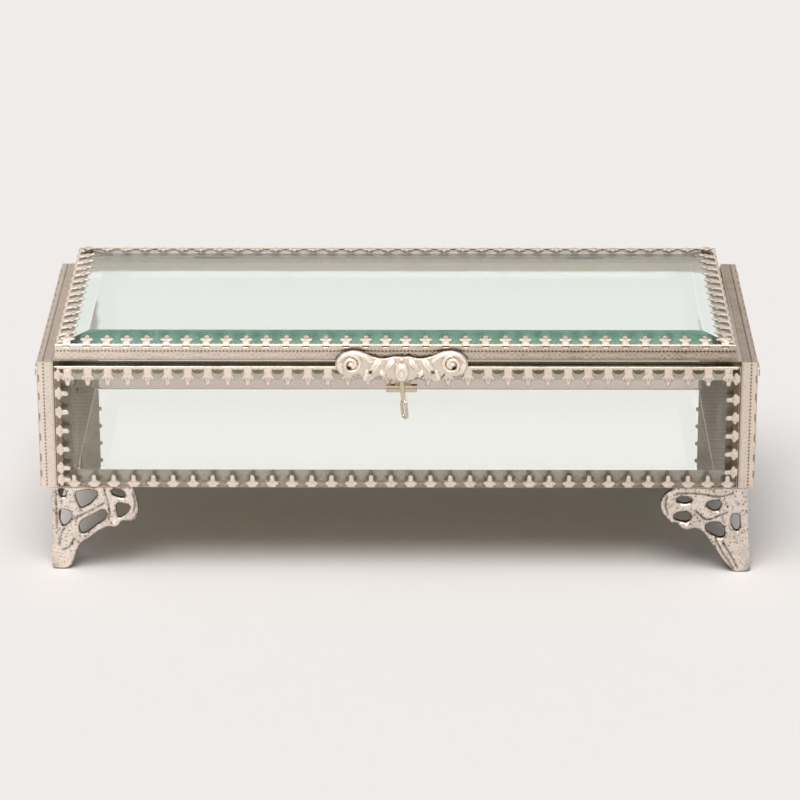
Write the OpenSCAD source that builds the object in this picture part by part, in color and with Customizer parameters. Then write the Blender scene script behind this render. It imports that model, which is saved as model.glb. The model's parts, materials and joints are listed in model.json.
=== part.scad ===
// Bevelled glass casket box: four glass walls and a glass lid, each pane bound
// in stamped metal strip whose pronged edge folds over the glass, on four cast
// corner feet. X runs along the width, +Z is up, the front faces -Y, and the
// origin lies on the table under the middle of the whole outline. Millimetres.

/* [Body] */
// Width of the body over both side walls
body_w = 254; // [200:1:320]
// Depth of the body over the front and back walls
body_d = 106; // [90:1:160]
// Height of the side walls
wall_h = 48; // [40:0.5:70]
// How far the front and back walls stop below the side walls
wall_drop = 2; // [1.2:0.1:3]
// Height of the feet under the body
foot_h = 31.5; // [26:0.5:40]

/* [Glass] */
// Thickness of a pane where a band grips it
pane_edge = 5; // [4:0.1:6]
// Width of the bevel ground round a wall pane
wall_bevel = 7.6; // [7:0.1:9]
// How much thicker a wall pane is inside its bevel
wall_rise = 0.9; // [0.5:0.1:1.2]
// Width of the bevel ground round the lid pane
lid_bevel = 11; // [8:0.5:14]
// How much thicker the lid pane is inside its bevel
lid_rise = 2; // [1:0.1:2.5]
// Thickness of the mirror on the floor of the box
mirror_t = 3; // [2:0.5:4]

/* [Bands] */
// Thickness of the stamped strip
sheet = 0.4; // [0.3:0.05:0.5]
// Width of the unbroken lip that the prongs spring from
lip = 1; // [0.8:0.1:1.3]
// Nominal spacing of the prongs
prong_pitch = 7; // [6:0.1:9]
// Length of a prong, measured from the fold
prong_len = 6.1; // [5:0.1:6.4]
// Width of a prong across its shoulders
prong_w = 4.6; // [4:0.1:5.2]
// Width of a prong at its neck
prong_neck = 3.1; // [2.4:0.1:3.6]
// Width of the rounded tip of a prong
prong_tip = 2; // [1.4:0.1:2.4]
// Distance from the end of a long band to its first prong
prong_inset = 4.4; // [3.6:0.1:6]
// Room left between soldered bands
seam = 0.1; // [0.05:0.01:0.2]
// Width of the plain flange of the strip on the inner face of a pane
flange_w = 6.5; // [5:0.1:8]
// Height of the flanges of the plain rail on the back wall
rail_w = 4.9; // [4:0.1:6]
// How far the back rail stands above the strip that it replaces
rail_rise = 0.8; // [0.4:0.1:1.2]
// Width of the flat bands on the mirror, along its sides and its back
floor_band_w = 7.4; // [5:0.1:9]
// Width of the flat band on the mirror along its front
floor_front_w = 2.4; // [1:0.1:8]
// Sideways offset of the part of the mirror that stays clear
floor_shift = -0.6; // [-1:0.1:1]

/* [Lid] */
// How far the lid stops short of each end of the body
lid_inset = 7.25; // [6:0.25:20]
// Sideways offset of the lid
lid_shift = -0.6; // [-1:0.1:1]
// How far the lid reaches past the back wall
lid_back = 1; // [0.5:0.1:2]
// Air under the lid, above the side walls
lid_gap = 0.3; // [0.2:0.05:1]

/* [Hinges] */
// Distance of each hinge from the middle of the box
hinge_x = 70; // [50:1:90]
// Width of a hinge over its knuckles
hinge_w = 14; // [11:0.5:20]
// Width of the middle knuckle, which the lid carries
hinge_mid = 5; // [4:0.5:6]
// Radius of the knuckles
knuckle_r = 1.5; // [1.3:0.05:1.6]
// Radius of the hinge pin
pin_r = 0.6; // [0.5:0.05:0.8]
// Radial clearance of the lid knuckle on its pin
pin_fit = 0.05; // [0.02:0.01:0.1]
// Distance of the pin behind the back edge of the lid
pin_back = 2; // [1.9:0.05:2.6]
// Thickness of the hinge leaves
leaf_t = 0.4; // [0.3:0.05:0.5]
// Height of the hinge leaves
leaf_h = 4; // [3:0.1:4.1]
// Gap between neighbouring knuckles
knuckle_gap = 0.3; // [0.2:0.05:0.5]

/* [Feet] */
// Width of each face of a foot
foot_w = 30.5; // [24:0.5:36]
// Thickness of the cast plates of a foot
foot_t = 1.6; // [1.2:0.1:2.2]
// Radius of the outer corner of a foot
foot_round = 2; // [1.6:0.1:4]
// Distance from the left end of the body to the left feet
foot_in_left = 4; // [1:0.5:8]
// Distance from the right end of the body to the right feet
foot_in_right = 2.5; // [1:0.5:8]
// Distance from the front and back of the body to the feet
foot_in_y = 1; // [0.5:0.5:3]

/* [Latch] */
// Sideways offset of the ornament, the latch and the catch
latch_shift = 1.6; // [-3:0.1:3]
// Width of the cast ornament on the front of the lid
ornament_w = 47.5; // [40:0.5:60]
// Thickness of the plate of the ornament
ornament_t = 1.2; // [1:0.1:1.6]
// Radius of the scroll at each end of the ornament
volute_r = 4.9; // [4:0.1:5.2]
// Relief of the scrolls and leaves above the plate
relief = 1.4; // [0.8:0.1:1.8]
// Width of the boss in the middle of the ornament
boss_w = 5.2; // [4.8:0.1:7]
// Height of the boss
boss_h = 7; // [6:0.1:8]
// Thickness of the metal in front of the eye of the latch
boss_skin = 0.55; // [0.4:0.05:1]
// Thickness of the wire of the latch
wire_d = 1.7; // [1.4:0.05:1.8]
// Radius of the latch pin
latch_pin_r = 0.45; // [0.4:0.05:0.5]
// Distance from the pin down to the lowest point of the pull loop
latch_len = 15.2; // [13:0.1:18]
// Height of the pull loop
loop_h = 7.2; // [6:0.1:8]
// Width of the pull loop
loop_w = 3.8; // [3.4:0.1:4.2]
// Thickness of the wire of the pull loop
loop_wire = 1.2; // [1:0.05:1.4]
// Angle that the latch swings out from the catch
latch_swing = 30; // [20:1:34]
// Width of the catch on the front wall
catch_w = 11; // [8:0.5:14]
// Height of the catch
catch_h = 2.4; // [2:0.1:3]
// Depth of the catch in front of its strap
catch_d = 2; // [1.6:0.1:2.6]

/* [Hidden] */
$fn = 48;

silver = "#d9cfc6";
bronze = "#b5a595";
glass_green = "#cfe3d8";
mirror_grey = "#aeb8b4";

// A bound wall is as thick as its pane edge and the strip on both sides of it
band_w = pane_edge + 2 * sheet;
body_top = foot_h + wall_h;
low_top = body_top - wall_drop;
low_h = wall_h - wall_drop;
// The front and back walls stand between the side walls
inner_w = body_w - 2 * band_w;
inner_d = body_d - 2 * band_w;
front_w = inner_w - 2 * seam;
wall_tilt = atan(wall_rise / wall_bevel);
lid_tilt = atan(lid_rise / lid_bevel);
lid_w = body_w - 2 * lid_inset;
lid_z = body_top + lid_gap;
lid_d = body_d + lid_back;
// Steps of the prong outline from the fold to the tip
prong_throat = 2;
prong_shoulder = 3.1;
prong_waist = 4.3;
// Depth that a long band's prongs take, which a short band's prongs keep out of
prong_clear = prong_len + prong_w / 2 + 3 * sheet;
// How far the prongs may stand in front of a wall's band
wall_proud = wall_rise;
base_t = 0.5;
// Room left round what lies between the walls
floor_play = 3 * seam;
floor_z = foot_h + base_t + mirror_t;
clear_w = inner_w - 2 * floor_band_w;
clear_front_y = -inner_d / 2 + floor_front_w;
clear_back_y = inner_d / 2 - floor_band_w;
// The hinge pin lies behind the lid's back edge, a little lower than the lid
pin_below = 0.8;
hinge_behind = lid_back + pin_back;
hinge_z = lid_z - pin_below;
knuckle_w = (hinge_w - hinge_mid) / 2 - knuckle_gap;
pin_head_r = 1.1;
pin_head_t = 0.4;
// Latch: the pin hangs a little in front of the catch, and below the ornament's middle
running = 0.3;
strap_t = 0.4;
strap_w = 5;
ornament_drop = 1.5;
ornament_z = low_top - ornament_drop;
pin_drop = 1.4;
latch_z = ornament_z - pin_drop;
eye_r = 1.25;
catch_drop = 6;
catch_top = low_top - catch_drop;
// The shank leans out just enough to hang clear of the catch
catch_ahead = 0.7;
catch_below = latch_z - catch_top;
shank_room = wire_d / 2 + running;
latch_lean = asin(shank_room / norm([catch_ahead, catch_below])) - atan(catch_ahead / catch_below);
loop_r = (loop_w - loop_wire) / 2;
loop_straight = loop_h - loop_w;
loop_turn = 35;

// The middle of the body stands behind the origin, because the latch reaches further
// out in front than the hinges do behind
latch_ahead = wall_proud + strap_t + catch_d + catch_ahead;
loop_ahead = (latch_len - loop_w / 2) * sin(latch_lean) + loop_r * cos(loop_turn) + loop_wire / 2;
body_y = (latch_ahead + loop_ahead - hinge_behind - knuckle_r) / 2;
front_y = body_y - body_d / 2;
back_y = body_y + body_d / 2;
lid_y = body_y + lid_back / 2;
hinge_y = back_y + hinge_behind;
// The strap of the catch lies on the prongs, and the ornament clears the strap
strap_y = front_y - wall_proud;
plate_y = strap_y - strap_t - running;
shelf_y = strap_y - strap_t - catch_d;
latch_y = front_y - latch_ahead;
boss_y = latch_y - eye_r - running - boss_skin;

// Panel frame: x along the pane, y up it, z out of it, z = 0 on the inner glass face
module on_front() {
    translate([0, front_y + sheet + pane_edge, foot_h + low_h / 2]) rotate([90, 0, 0]) children();
}

module on_back() {
    translate([0, back_y - sheet - pane_edge, foot_h + low_h / 2]) rotate([90, 0, 180]) children();
}

// The two side walls: side is -1 for the left one and 1 for the right one
module on_side(side) {
    translate([side * (body_w / 2 - sheet - pane_edge), body_y, foot_h + wall_h / 2])
        rotate([90, 0, side * 90]) children();
}

module on_lid() {
    translate([lid_shift, lid_y, lid_z + sheet]) children();
}

// A pane with a mitred bevel round its outer face
module pane(w, h, bevel, rise) {
    intersection() {
        rotate([90, 0, 0]) linear_extrude(h, center = true) bevel_profile(w, bevel, rise);
        rotate([90, 0, 90]) linear_extrude(w, center = true) bevel_profile(h, bevel, rise);
    }
}

module bevel_profile(w, bevel, rise) {
    polygon([
        [-w / 2, 0], [w / 2, 0], [w / 2, pane_edge], [w / 2 - bevel, pane_edge + rise],
        [-w / 2 + bevel, pane_edge + rise], [-w / 2, pane_edge]
    ]);
}

// Outline of one prong about x, from its neck at the lip to its rounded tip and back
function prong_points(x) = [
    [x + prong_neck / 2, lip], [x + prong_neck / 2, prong_throat],
    [x + prong_w / 2, prong_shoulder], [x + prong_tip / 2, prong_waist],
    for (a = [0 : 60 : 180])
        [x + prong_tip / 2 * cos(a), prong_len - prong_tip / 2 + prong_tip / 2 * sin(a)],
    [x - prong_tip / 2, prong_waist], [x - prong_w / 2, prong_shoulder],
    [x - prong_neck / 2, prong_throat], [x - prong_neck / 2, lip]
];

// Flat lip with its prongs. The ends are mitred, and `first` is the distance of the
// end prongs from the corner of the panel. A butted comb stops at its neighbour's web.
// `lead` keeps the lip's edge back, so that a tilted lip stays inside its web.
module comb(w, first, butted, lead) {
    span = w - 2 * first;
    gaps = max(1, round(span / prong_pitch));
    step = span / gaps;
    start = butted ? sheet : 0;
    end = w / 2 - start - seam / 2;
    corner = w / 2 - lip - seam / 2;
    polygon([
        [-end, lead], [end, lead], if (butted) [end, sheet], [corner, lip],
        for (i = [gaps : -1 : 0]) each prong_points(-span / 2 + i * step),
        [-corner, lip], if (butted) [-end, sheet]
    ]);
}

// Plain flange with mitred ends
module flange(w, butted) {
    end = w / 2 - (butted ? sheet : 0) - seam / 2;
    corner = w / 2 - flange_w - seam / 2;
    polygon([
        [-end, 0], [end, 0], if (butted) [end, sheet], [corner, flange_w],
        [-corner, flange_w], if (butted) [-end, sheet]
    ]);
}

// Stamped band: a web on the edge of the pane, a pronged lip folded over its outer face
// and a plain flange folded over its inner face.
// Local y runs inwards from the outer edge of the panel. A butted band runs between
// the webs of its two neighbours and leaves the corners to their prongs.
module band(w, tilt, butted = false) {
    first = butted ? prong_clear : prong_inset;
    web_w = butted ? w - 2 * sheet : w;
    translate([-web_w / 2, 0, -sheet]) cube([web_w, sheet, band_w]);
    translate([0, sheet, pane_edge]) rotate([tilt, 0, 0]) translate([0, -sheet, 0])
        linear_extrude(sheet) comb(w, first, butted, sheet * tan(tilt));
    translate([0, 0, -sheet]) linear_extrude(sheet) flange(w, butted);
}

// The four edges of a w by h panel, each turned so that local y points inwards
module low_edge(h) { translate([0, -h / 2, 0]) children(); }
module high_edge(h) { translate([0, h / 2, 0]) rotate([0, 0, 180]) children(); }
module left_edge(w) { translate([-w / 2, 0, 0]) rotate([0, 0, -90]) children(); }
module right_edge(w) { translate([w / 2, 0, 0]) rotate([0, 0, 90]) children(); }

module front_glass() {
    color(glass_green) on_front() pane(front_w - 2 * sheet, low_h - 2 * sheet, wall_bevel, wall_rise);
}

module back_glass() {
    color(glass_green) on_back() pane(front_w - 2 * sheet, low_h - 2 * sheet, wall_bevel, wall_rise);
}

module left_glass() {
    color(glass_green) on_side(-1) pane(body_d - 2 * sheet, wall_h - 2 * sheet, wall_bevel, wall_rise);
}

module right_glass() {
    color(glass_green) on_side(1) pane(body_d - 2 * sheet, wall_h - 2 * sheet, wall_bevel, wall_rise);
}

module lid_glass() {
    color(glass_green) on_lid() pane(lid_w - 2 * sheet, lid_d - 2 * sheet, lid_bevel, lid_rise);
}

module front_top_band() {
    color(silver) on_front() high_edge(low_h) band(front_w, wall_tilt);
}

module front_bottom_band() {
    color(silver) on_front() low_edge(low_h) band(front_w, wall_tilt);
}

module front_left_band() {
    color(silver) on_front() left_edge(front_w) band(low_h, wall_tilt, butted = true);
}

module front_right_band() {
    color(silver) on_front() right_edge(front_w) band(low_h, wall_tilt, butted = true);
}

module back_bottom_band() {
    color(silver) on_back() low_edge(low_h) band(front_w, wall_tilt);
}

module back_left_band() {
    color(silver) on_back() right_edge(front_w) rail_cut() band(low_h, wall_tilt, butted = true);
}

module back_right_band() {
    color(silver) on_back() left_edge(front_w) mirror([1, 0, 0]) rail_cut()
        band(low_h, wall_tilt, butted = true);
}

// The side bands of the back wall stop under the flanges of the back rail
module rail_cut() {
    difference() {
        children();
        translate([low_h / 2 - rail_w + rail_rise - seam, -band_w, -band_w])
            cube([rail_w, 4 * band_w, 4 * band_w]);
    }
}

// Plain channel along the top of the back wall, which carries the hinges
module back_top_rail() {
    color(bronze) on_back() high_edge(low_h) translate([-front_w / 2, -rail_rise, -sheet]) {
        cube([front_w, sheet, band_w + wall_rise]);
        cube([front_w, rail_w, sheet]);
        translate([0, 0, band_w + wall_rise - sheet]) cube([front_w, rail_w, sheet]);
    }
}

module left_top_band() {
    color(silver) on_side(-1) high_edge(wall_h) band(body_d, wall_tilt);
}

module left_bottom_band() {
    color(silver) on_side(-1) low_edge(wall_h) band(body_d, wall_tilt);
}

module left_front_band() {
    color(silver) on_side(-1) right_edge(body_d) band(wall_h, wall_tilt, butted = true);
}

module left_back_band() {
    color(silver) on_side(-1) left_edge(body_d) band(wall_h, wall_tilt, butted = true);
}

module right_top_band() {
    color(silver) on_side(1) high_edge(wall_h) band(body_d, wall_tilt);
}

module right_bottom_band() {
    color(silver) on_side(1) low_edge(wall_h) band(body_d, wall_tilt);
}

module right_front_band() {
    color(silver) on_side(1) left_edge(body_d) band(wall_h, wall_tilt, butted = true);
}

module right_back_band() {
    color(silver) on_side(1) right_edge(body_d) band(wall_h, wall_tilt, butted = true);
}

module lid_front_band() {
    color(silver) on_lid() low_edge(lid_d) band(lid_w, lid_tilt);
}

module lid_back_band() {
    color(silver) on_lid() high_edge(lid_d) band(lid_w, lid_tilt);
}

module lid_left_band() {
    color(silver) on_lid() left_edge(lid_w) band(lid_d, lid_tilt, butted = true);
}

module lid_right_band() {
    color(silver) on_lid() right_edge(lid_w) band(lid_d, lid_tilt, butted = true);
}

// Sheet floor between the walls, and the mirror that lies on it
module base_tray() {
    color(bronze) translate([-inner_w / 2 + seam, body_y - inner_d / 2 + seam, foot_h])
        cube([inner_w - 2 * seam, inner_d - 2 * seam, base_t]);
}

module bottom_mirror() {
    color(mirror_grey) translate([0, body_y, foot_h + base_t + mirror_t / 2])
        cube([inner_w - 2 * floor_play, inner_d - 2 * floor_play, mirror_t], center = true);
}

// Flat band on the mirror between two corners, measured from the middle of the floor
module floor_band(low, high) {
    color(silver) translate([low.x, body_y + low.y, floor_z]) cube([high.x - low.x, high.y - low.y, sheet]);
}

module floor_front_band() {
    floor_band([-inner_w / 2 + floor_play, -inner_d / 2 + floor_play],
        [inner_w / 2 - floor_play, clear_front_y - seam]);
}

module floor_back_band() {
    floor_band([-inner_w / 2 + floor_play, clear_back_y + seam],
        [inner_w / 2 - floor_play, inner_d / 2 - floor_play]);
}

module floor_left_band() {
    floor_band([-inner_w / 2 + floor_play, clear_front_y], [floor_shift - clear_w / 2, clear_back_y]);
}

module floor_right_band() {
    floor_band([floor_shift + clear_w / 2, clear_front_y], [inner_w / 2 - floor_play, clear_back_y]);
}

// Outline of one face of a foot, as shares of its width and height: x from the outer
// corner, y from the floor
foot_outline = [
    [0, 1], [0, 0.09], [0.02, 0.04], [0.07, 0], [0.18, 0], [0.22, 0.03], [0.25, 0.1], [0.3, 0.24],
    [0.34, 0.32], [0.42, 0.37], [0.56, 0.48], [0.66, 0.53], [0.72, 0.54], [0.76, 0.57], [0.79, 0.62],
    [0.86, 0.6], [0.93, 0.6], [0.98, 0.67], [1, 0.78], [1, 0.88], [0.97, 1]
];
foot_windows = [
    [[0.28, 0.91], [0.39, 0.95], [0.49, 0.95], [0.52, 0.9], [0.48, 0.82], [0.4, 0.76], [0.33, 0.74],
        [0.3, 0.81]],
    [[0.68, 0.93], [0.73, 0.965], [0.79, 0.95], [0.82, 0.92], [0.81, 0.88], [0.75, 0.88], [0.7, 0.89]],
    [[0.74, 0.78], [0.83, 0.8], [0.89, 0.77], [0.87, 0.72], [0.81, 0.67], [0.75, 0.65]],
    [[0.31, 0.57], [0.37, 0.63], [0.49, 0.68], [0.57, 0.73], [0.62, 0.7], [0.62, 0.63], [0.5, 0.54],
        [0.37, 0.46], [0.33, 0.49]],
    [[0.1, 0.74], [0.15, 0.73], [0.21, 0.68], [0.2, 0.61], [0.14, 0.55], [0.1, 0.59]],
    [[0.09, 0.95], [0.16, 0.94], [0.15, 0.86], [0.1, 0.87]]
];

module foot_plate() {
    rotate([90, 0, 0]) mirror([0, 0, 1]) linear_extrude(foot_t) difference() {
        polygon([for (p = foot_outline) [p.x * foot_w, p.y * foot_h]]);
        for (window = foot_windows) polygon([for (p = window) [p.x * foot_w, p.y * foot_h]]);
    }
}

// Cast corner foot: the same openwork plate along both walls, with a rounded outer
// edge and a ledge that is soldered under the body
module foot() {
    ledge = foot_w * 0.3;
    intersection() {
        union() {
            foot_plate();
            mirror([1, -1, 0]) foot_plate();
            translate([0, 0, foot_h - foot_t]) linear_extrude(foot_t)
                polygon([[0, 0], [ledge, 0], [0, ledge]]);
        }
        linear_extrude(foot_h) {
            translate([foot_round, 0]) square(foot_w);
            translate([0, foot_round]) square(foot_w);
            translate([foot_round, foot_round]) circle(foot_round);
        }
    }
}

foot_left_x = -body_w / 2 + foot_in_left;
foot_right_x = body_w / 2 - foot_in_right;
foot_front_y = front_y + foot_in_y;
foot_back_y = back_y - foot_in_y;

module foot_front_left() {
    color(silver) translate([foot_left_x, foot_front_y, 0]) foot();
}

module foot_front_right() {
    color(silver) translate([foot_right_x, foot_front_y, 0]) mirror([1, 0, 0]) foot();
}

module foot_back_left() {
    color(silver) translate([foot_left_x, foot_back_y, 0]) mirror([0, 1, 0]) foot();
}

module foot_back_right() {
    color(silver) translate([foot_right_x, foot_back_y, 0]) rotate([0, 0, 180]) foot();
}

// Hinge parts stand in a frame whose origin is on the pin, halfway along it
module at_hinge(side) { translate([side * hinge_x, hinge_y, hinge_z]) children(); }
module along_x(w) { rotate([90, 0, 90]) linear_extrude(w, center = true) children(); }

// Leaf on the back rail, with the two outer knuckles
module body_leaf() {
    rail_y = back_y + wall_proud - hinge_y;
    leaf_top = low_top - hinge_z;
    color(bronze) {
        along_x(hinge_w) polygon([
            [rail_y, leaf_top - leaf_h], [rail_y + leaf_t, leaf_top - leaf_h],
            [rail_y + leaf_t, leaf_top], [rail_y, leaf_top]
        ]);
        for (s = [-1, 1]) translate([s * (hinge_w - knuckle_w) / 2, 0, 0]) along_x(knuckle_w)
            difference() {
                union() {
                    circle(knuckle_r);
                    polygon([
                        [rail_y, leaf_top - leaf_t], [rail_y + leaf_t, leaf_top - 2 * leaf_t],
                        [0, -knuckle_r], [0, 0], [-knuckle_r, 0], [rail_y, leaf_top]
                    ]);
                }
                circle(pin_r);
            }
    }
}

// Leaf on the back band of the lid, with the middle knuckle
module lid_leaf() {
    leaf_z = lid_z - hinge_z + sheet / 2;
    color(bronze) {
        along_x(hinge_w) translate([-pin_back, leaf_z]) square([leaf_t, leaf_h]);
        along_x(hinge_mid) difference() {
            union() {
                circle(knuckle_r);
                polygon([
                    [-pin_back, leaf_z + leaf_t], [-pin_back, 0], [0, 0], [0, knuckle_r],
                    [-pin_back + leaf_t, leaf_z + leaf_t]
                ]);
            }
            circle(pin_r + pin_fit);
        }
    }
}

module hinge_pin() {
    color(silver) rotate([0, 90, 0]) {
        cylinder(h = hinge_w, r = pin_r, center = true);
        for (s = [-1, 1]) translate([0, 0, s * (hinge_w + pin_head_t) / 2])
            cylinder(h = pin_head_t, r = pin_head_r, center = true);
    }
}

module hinge_left_body_leaf() { at_hinge(-1) body_leaf(); }
module hinge_left_lid_leaf() { at_hinge(-1) lid_leaf(); }
module hinge_left_pin() { at_hinge(-1) hinge_pin(); }
module hinge_right_body_leaf() { at_hinge(1) body_leaf(); }
module hinge_right_lid_leaf() { at_hinge(1) lid_leaf(); }
module hinge_right_pin() { at_hinge(1) hinge_pin(); }

function oval(w, h) = [for (a = [0 : 12 : 348]) [w / 2 * cos(a), h / 2 * sin(a)]];

// Frame of the ornament: x along the lid, y up it, z out of it
module on_ornament() { translate([latch_shift, plate_y, ornament_z]) rotate([90, 0, 0]) children(); }

// Half of the ornament, to the right of the boss. Its lengths are counted in units of
// a fifth of the scroll's radius.
unit = volute_r / 5;
half = ornament_w / 2;
volute_x = half - volute_r - 0.9 * unit;
volute_y = 3.7 * unit;
boss_rise = 0.8 * unit;
pad_w = 16 * unit;
pad_h = 1.2;

// Outline from the top to the bottom: near the boss the points keep their distance from
// it, and further out from the scroll
boss_side_top = [[-1, 5.8], [3, 5.7], [6.6, 5.3]];
scroll_side = [
    [-7.7, 6.1], [-5.3, 7.3], [-3.1, 8.2], [0, 8.2], [4.2, 6.5], [5.4, 4.1], [5.2, 1.5], [3.6, -0.8],
    [0, -1.2], [-3.7, -0.6], [-4.7, -3], [-6.5, -3.2], [-8.9, -1.2]
];
boss_side_low = [[5.7, -0.5], [4.5, -1.2], [3.1, -2.4], [-1, -2.4]];

module ornament_half() {
    polygon([
        for (p = boss_side_top) p * unit,
        for (p = scroll_side) p * unit + [volute_x, 0],
        for (p = boss_side_low) p * unit
    ]);
    translate([volute_x, volute_y]) circle(volute_r);
}

// Raised ring and eye of the scroll, and a raised leaf between it and the boss
module relief_half() {
    translate([volute_x, volute_y]) {
        linear_extrude(relief) difference() {
            circle(volute_r - 0.4 * unit);
            circle(volute_r - 1.7 * unit);
        }
        cylinder(h = relief, r = 1.4 * unit);
    }
    leaf(5, 2.2, 15, 5.7);
    leaf(8.2, 1.8, -20, 6.5);
    leaf(volute_x / unit - 6.7, 0.8, 30, 6.7);
}

module leaf(x, y, turn, h) {
    translate([x * unit, y * unit, 0]) rotate([0, 0, turn]) linear_extrude(relief)
        polygon(oval(2.6 * unit, h * unit));
}

// Cast ornament on the front of the lid: a plate with scrolls and leaves, a pad that
// holds it off the band, and a hollow boss that hides the eye of the latch
module lid_ornament() {
    slot_w = wire_d + 2 * running;
    slot_r = eye_r + running;
    swung = latch_lean + latch_swing;
    pad_z = lid_z - ornament_z + running;
    // Height of the mouth that lets the shank swing out under the skin of the boss
    mouth_z = -pin_drop - (slot_r * cos(swung) - wire_d / 2 - running / 2) / sin(swung);
    color(silver) on_ornament() difference() {
        union() {
            linear_extrude(ornament_t) {
                ornament_half();
                mirror([1, 0]) ornament_half();
            }
            translate([0, 0, ornament_t]) {
                relief_half();
                mirror([1, 0, 0]) relief_half();
            }
            linear_extrude(plate_y - boss_y) translate([0, boss_rise]) polygon(oval(boss_w, boss_h));
            translate([-pad_w / 2, pad_z, plate_y - front_y]) cube([pad_w, pad_h, front_y - plate_y]);
        }
        translate([-slot_w / 2, -boss_h, -1])
            cube([slot_w, boss_h - pin_drop + slot_r, plate_y - latch_y + slot_r + 1]);
        translate([-slot_w / 2, mouth_z - boss_h, 0]) cube([slot_w, boss_h, plate_y - boss_y + 1]);
        translate([0, -pin_drop, plate_y - latch_y]) rotate([0, 90, 0])
            cylinder(h = boss_w + 2, r = latch_pin_r, center = true);
    }
}

module latch_pin() {
    color(bronze) translate([latch_shift, latch_y, latch_z]) rotate([0, 90, 0])
        cylinder(h = boss_w - 1, r = latch_pin_r, center = true);
}

// Wire latch: an eye on the pin, a straight shank and a long pull loop
module latch_wire() {
    shank = latch_len - loop_h + loop_wire / 2;
    color(silver) translate([latch_shift, latch_y, latch_z]) rotate([-latch_lean, 0, 0]) difference() {
        union() {
            rotate([0, 90, 0]) cylinder(h = wire_d, r = eye_r, center = true);
            translate([0, 0, -shank]) cylinder(h = shank, r = wire_d / 2);
            translate([0, 0, -shank]) rotate([0, 0, loop_turn]) pull_loop();
        }
        rotate([0, 90, 0]) cylinder(h = 2 * wire_d, r = latch_pin_r + pin_fit, center = true);
    }
}

module pull_loop() {
    rotate([90, 0, 90]) {
        for (s = [-1, 1]) translate([s * loop_r, -loop_r, 0]) rotate([90, 0, 0])
            cylinder(h = loop_straight, r = loop_wire / 2);
        translate([0, -loop_r, 0]) half_ring();
        translate([0, -loop_r - loop_straight, 0]) rotate([0, 0, 180]) half_ring();
    }
}

module half_ring() { rotate_extrude(angle = 180) translate([loop_r, 0]) circle(loop_wire / 2); }

// Catch: a grooved shelf that the shank hangs in front of, on a strap that folds
// over the front wall, where the lid rests on it
module catch_bar() {
    groove = 0.5;
    strap_h = low_top - catch_top + catch_h;
    color(silver) translate([latch_shift, 0, 0]) {
        difference() {
            translate([-catch_w / 2, shelf_y, catch_top - catch_h]) cube([catch_w, catch_d, catch_h]);
            translate([-catch_w / 2 - 1, shelf_y - groove, catch_top - catch_h / 2])
                cube([catch_w + 2, 2 * groove, groove]);
        }
        translate([-strap_w / 2, strap_y - strap_t, low_top - strap_h]) cube([strap_w, strap_t, strap_h]);
        translate([-strap_w / 2, strap_y - strap_t, low_top])
            cube([strap_w, band_w, lid_z - low_top - running]);
    }
}

front_glass();
back_glass();
left_glass();
right_glass();
bottom_mirror();
base_tray();
floor_front_band();
floor_back_band();
floor_left_band();
floor_right_band();
front_top_band();
front_bottom_band();
front_left_band();
front_right_band();
back_top_rail();
back_bottom_band();
back_left_band();
back_right_band();
left_top_band();
left_bottom_band();
left_front_band();
left_back_band();
right_top_band();
right_bottom_band();
right_front_band();
right_back_band();
foot_front_left();
foot_front_right();
foot_back_left();
foot_back_right();
lid_glass();
lid_front_band();
lid_back_band();
lid_left_band();
lid_right_band();
hinge_left_body_leaf();
hinge_left_lid_leaf();
hinge_left_pin();
hinge_right_body_leaf();
hinge_right_lid_leaf();
hinge_right_pin();
lid_ornament();
latch_pin();
latch_wire();
catch_bar();
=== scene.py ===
"""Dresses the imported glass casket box: stamped strips, cast feet, ornament, latch and glass."""

import json
import logging
import math
import random
from collections.abc import Callable, Iterator, Sequence
from dataclasses import dataclass, field
from enum import Enum
from typing import Any

import bmesh
import bpy
import numpy as np
from mathutils import Matrix, Vector
from mathutils.geometry import delaunay_2d_cdt


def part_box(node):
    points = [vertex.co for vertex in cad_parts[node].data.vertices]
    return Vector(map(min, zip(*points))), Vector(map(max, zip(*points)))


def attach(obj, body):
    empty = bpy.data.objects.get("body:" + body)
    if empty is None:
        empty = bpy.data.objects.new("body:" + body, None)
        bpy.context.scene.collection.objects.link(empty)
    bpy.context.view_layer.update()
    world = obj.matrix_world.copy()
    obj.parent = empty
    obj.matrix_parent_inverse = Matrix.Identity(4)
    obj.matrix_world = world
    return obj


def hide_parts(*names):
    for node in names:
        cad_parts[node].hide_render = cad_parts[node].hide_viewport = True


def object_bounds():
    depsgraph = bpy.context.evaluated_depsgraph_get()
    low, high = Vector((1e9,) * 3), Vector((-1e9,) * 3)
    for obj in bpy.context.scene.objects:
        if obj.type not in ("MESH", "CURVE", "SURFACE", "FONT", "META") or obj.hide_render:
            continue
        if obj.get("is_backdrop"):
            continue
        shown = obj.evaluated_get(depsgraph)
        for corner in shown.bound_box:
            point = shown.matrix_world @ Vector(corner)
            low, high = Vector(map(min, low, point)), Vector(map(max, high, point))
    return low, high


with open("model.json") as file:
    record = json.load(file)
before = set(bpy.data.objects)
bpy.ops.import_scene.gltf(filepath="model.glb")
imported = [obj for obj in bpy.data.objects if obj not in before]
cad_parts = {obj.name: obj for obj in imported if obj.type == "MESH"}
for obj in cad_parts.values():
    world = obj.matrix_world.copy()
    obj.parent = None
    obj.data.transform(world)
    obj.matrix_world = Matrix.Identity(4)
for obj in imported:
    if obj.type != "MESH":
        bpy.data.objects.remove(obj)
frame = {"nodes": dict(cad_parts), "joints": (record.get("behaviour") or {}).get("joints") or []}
CAD_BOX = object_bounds()

LOG = logging.getLogger("casket")
MM = 0.001

# Widest distance in mm that the edge measure of a relief looks at
REACH = 3.0
# Air between the glass and the metal on it, so that no faces coincide
AIR = 0.03
# Points of a piece closer together than this, in mm, are welded
WELD = 0.002
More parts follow.
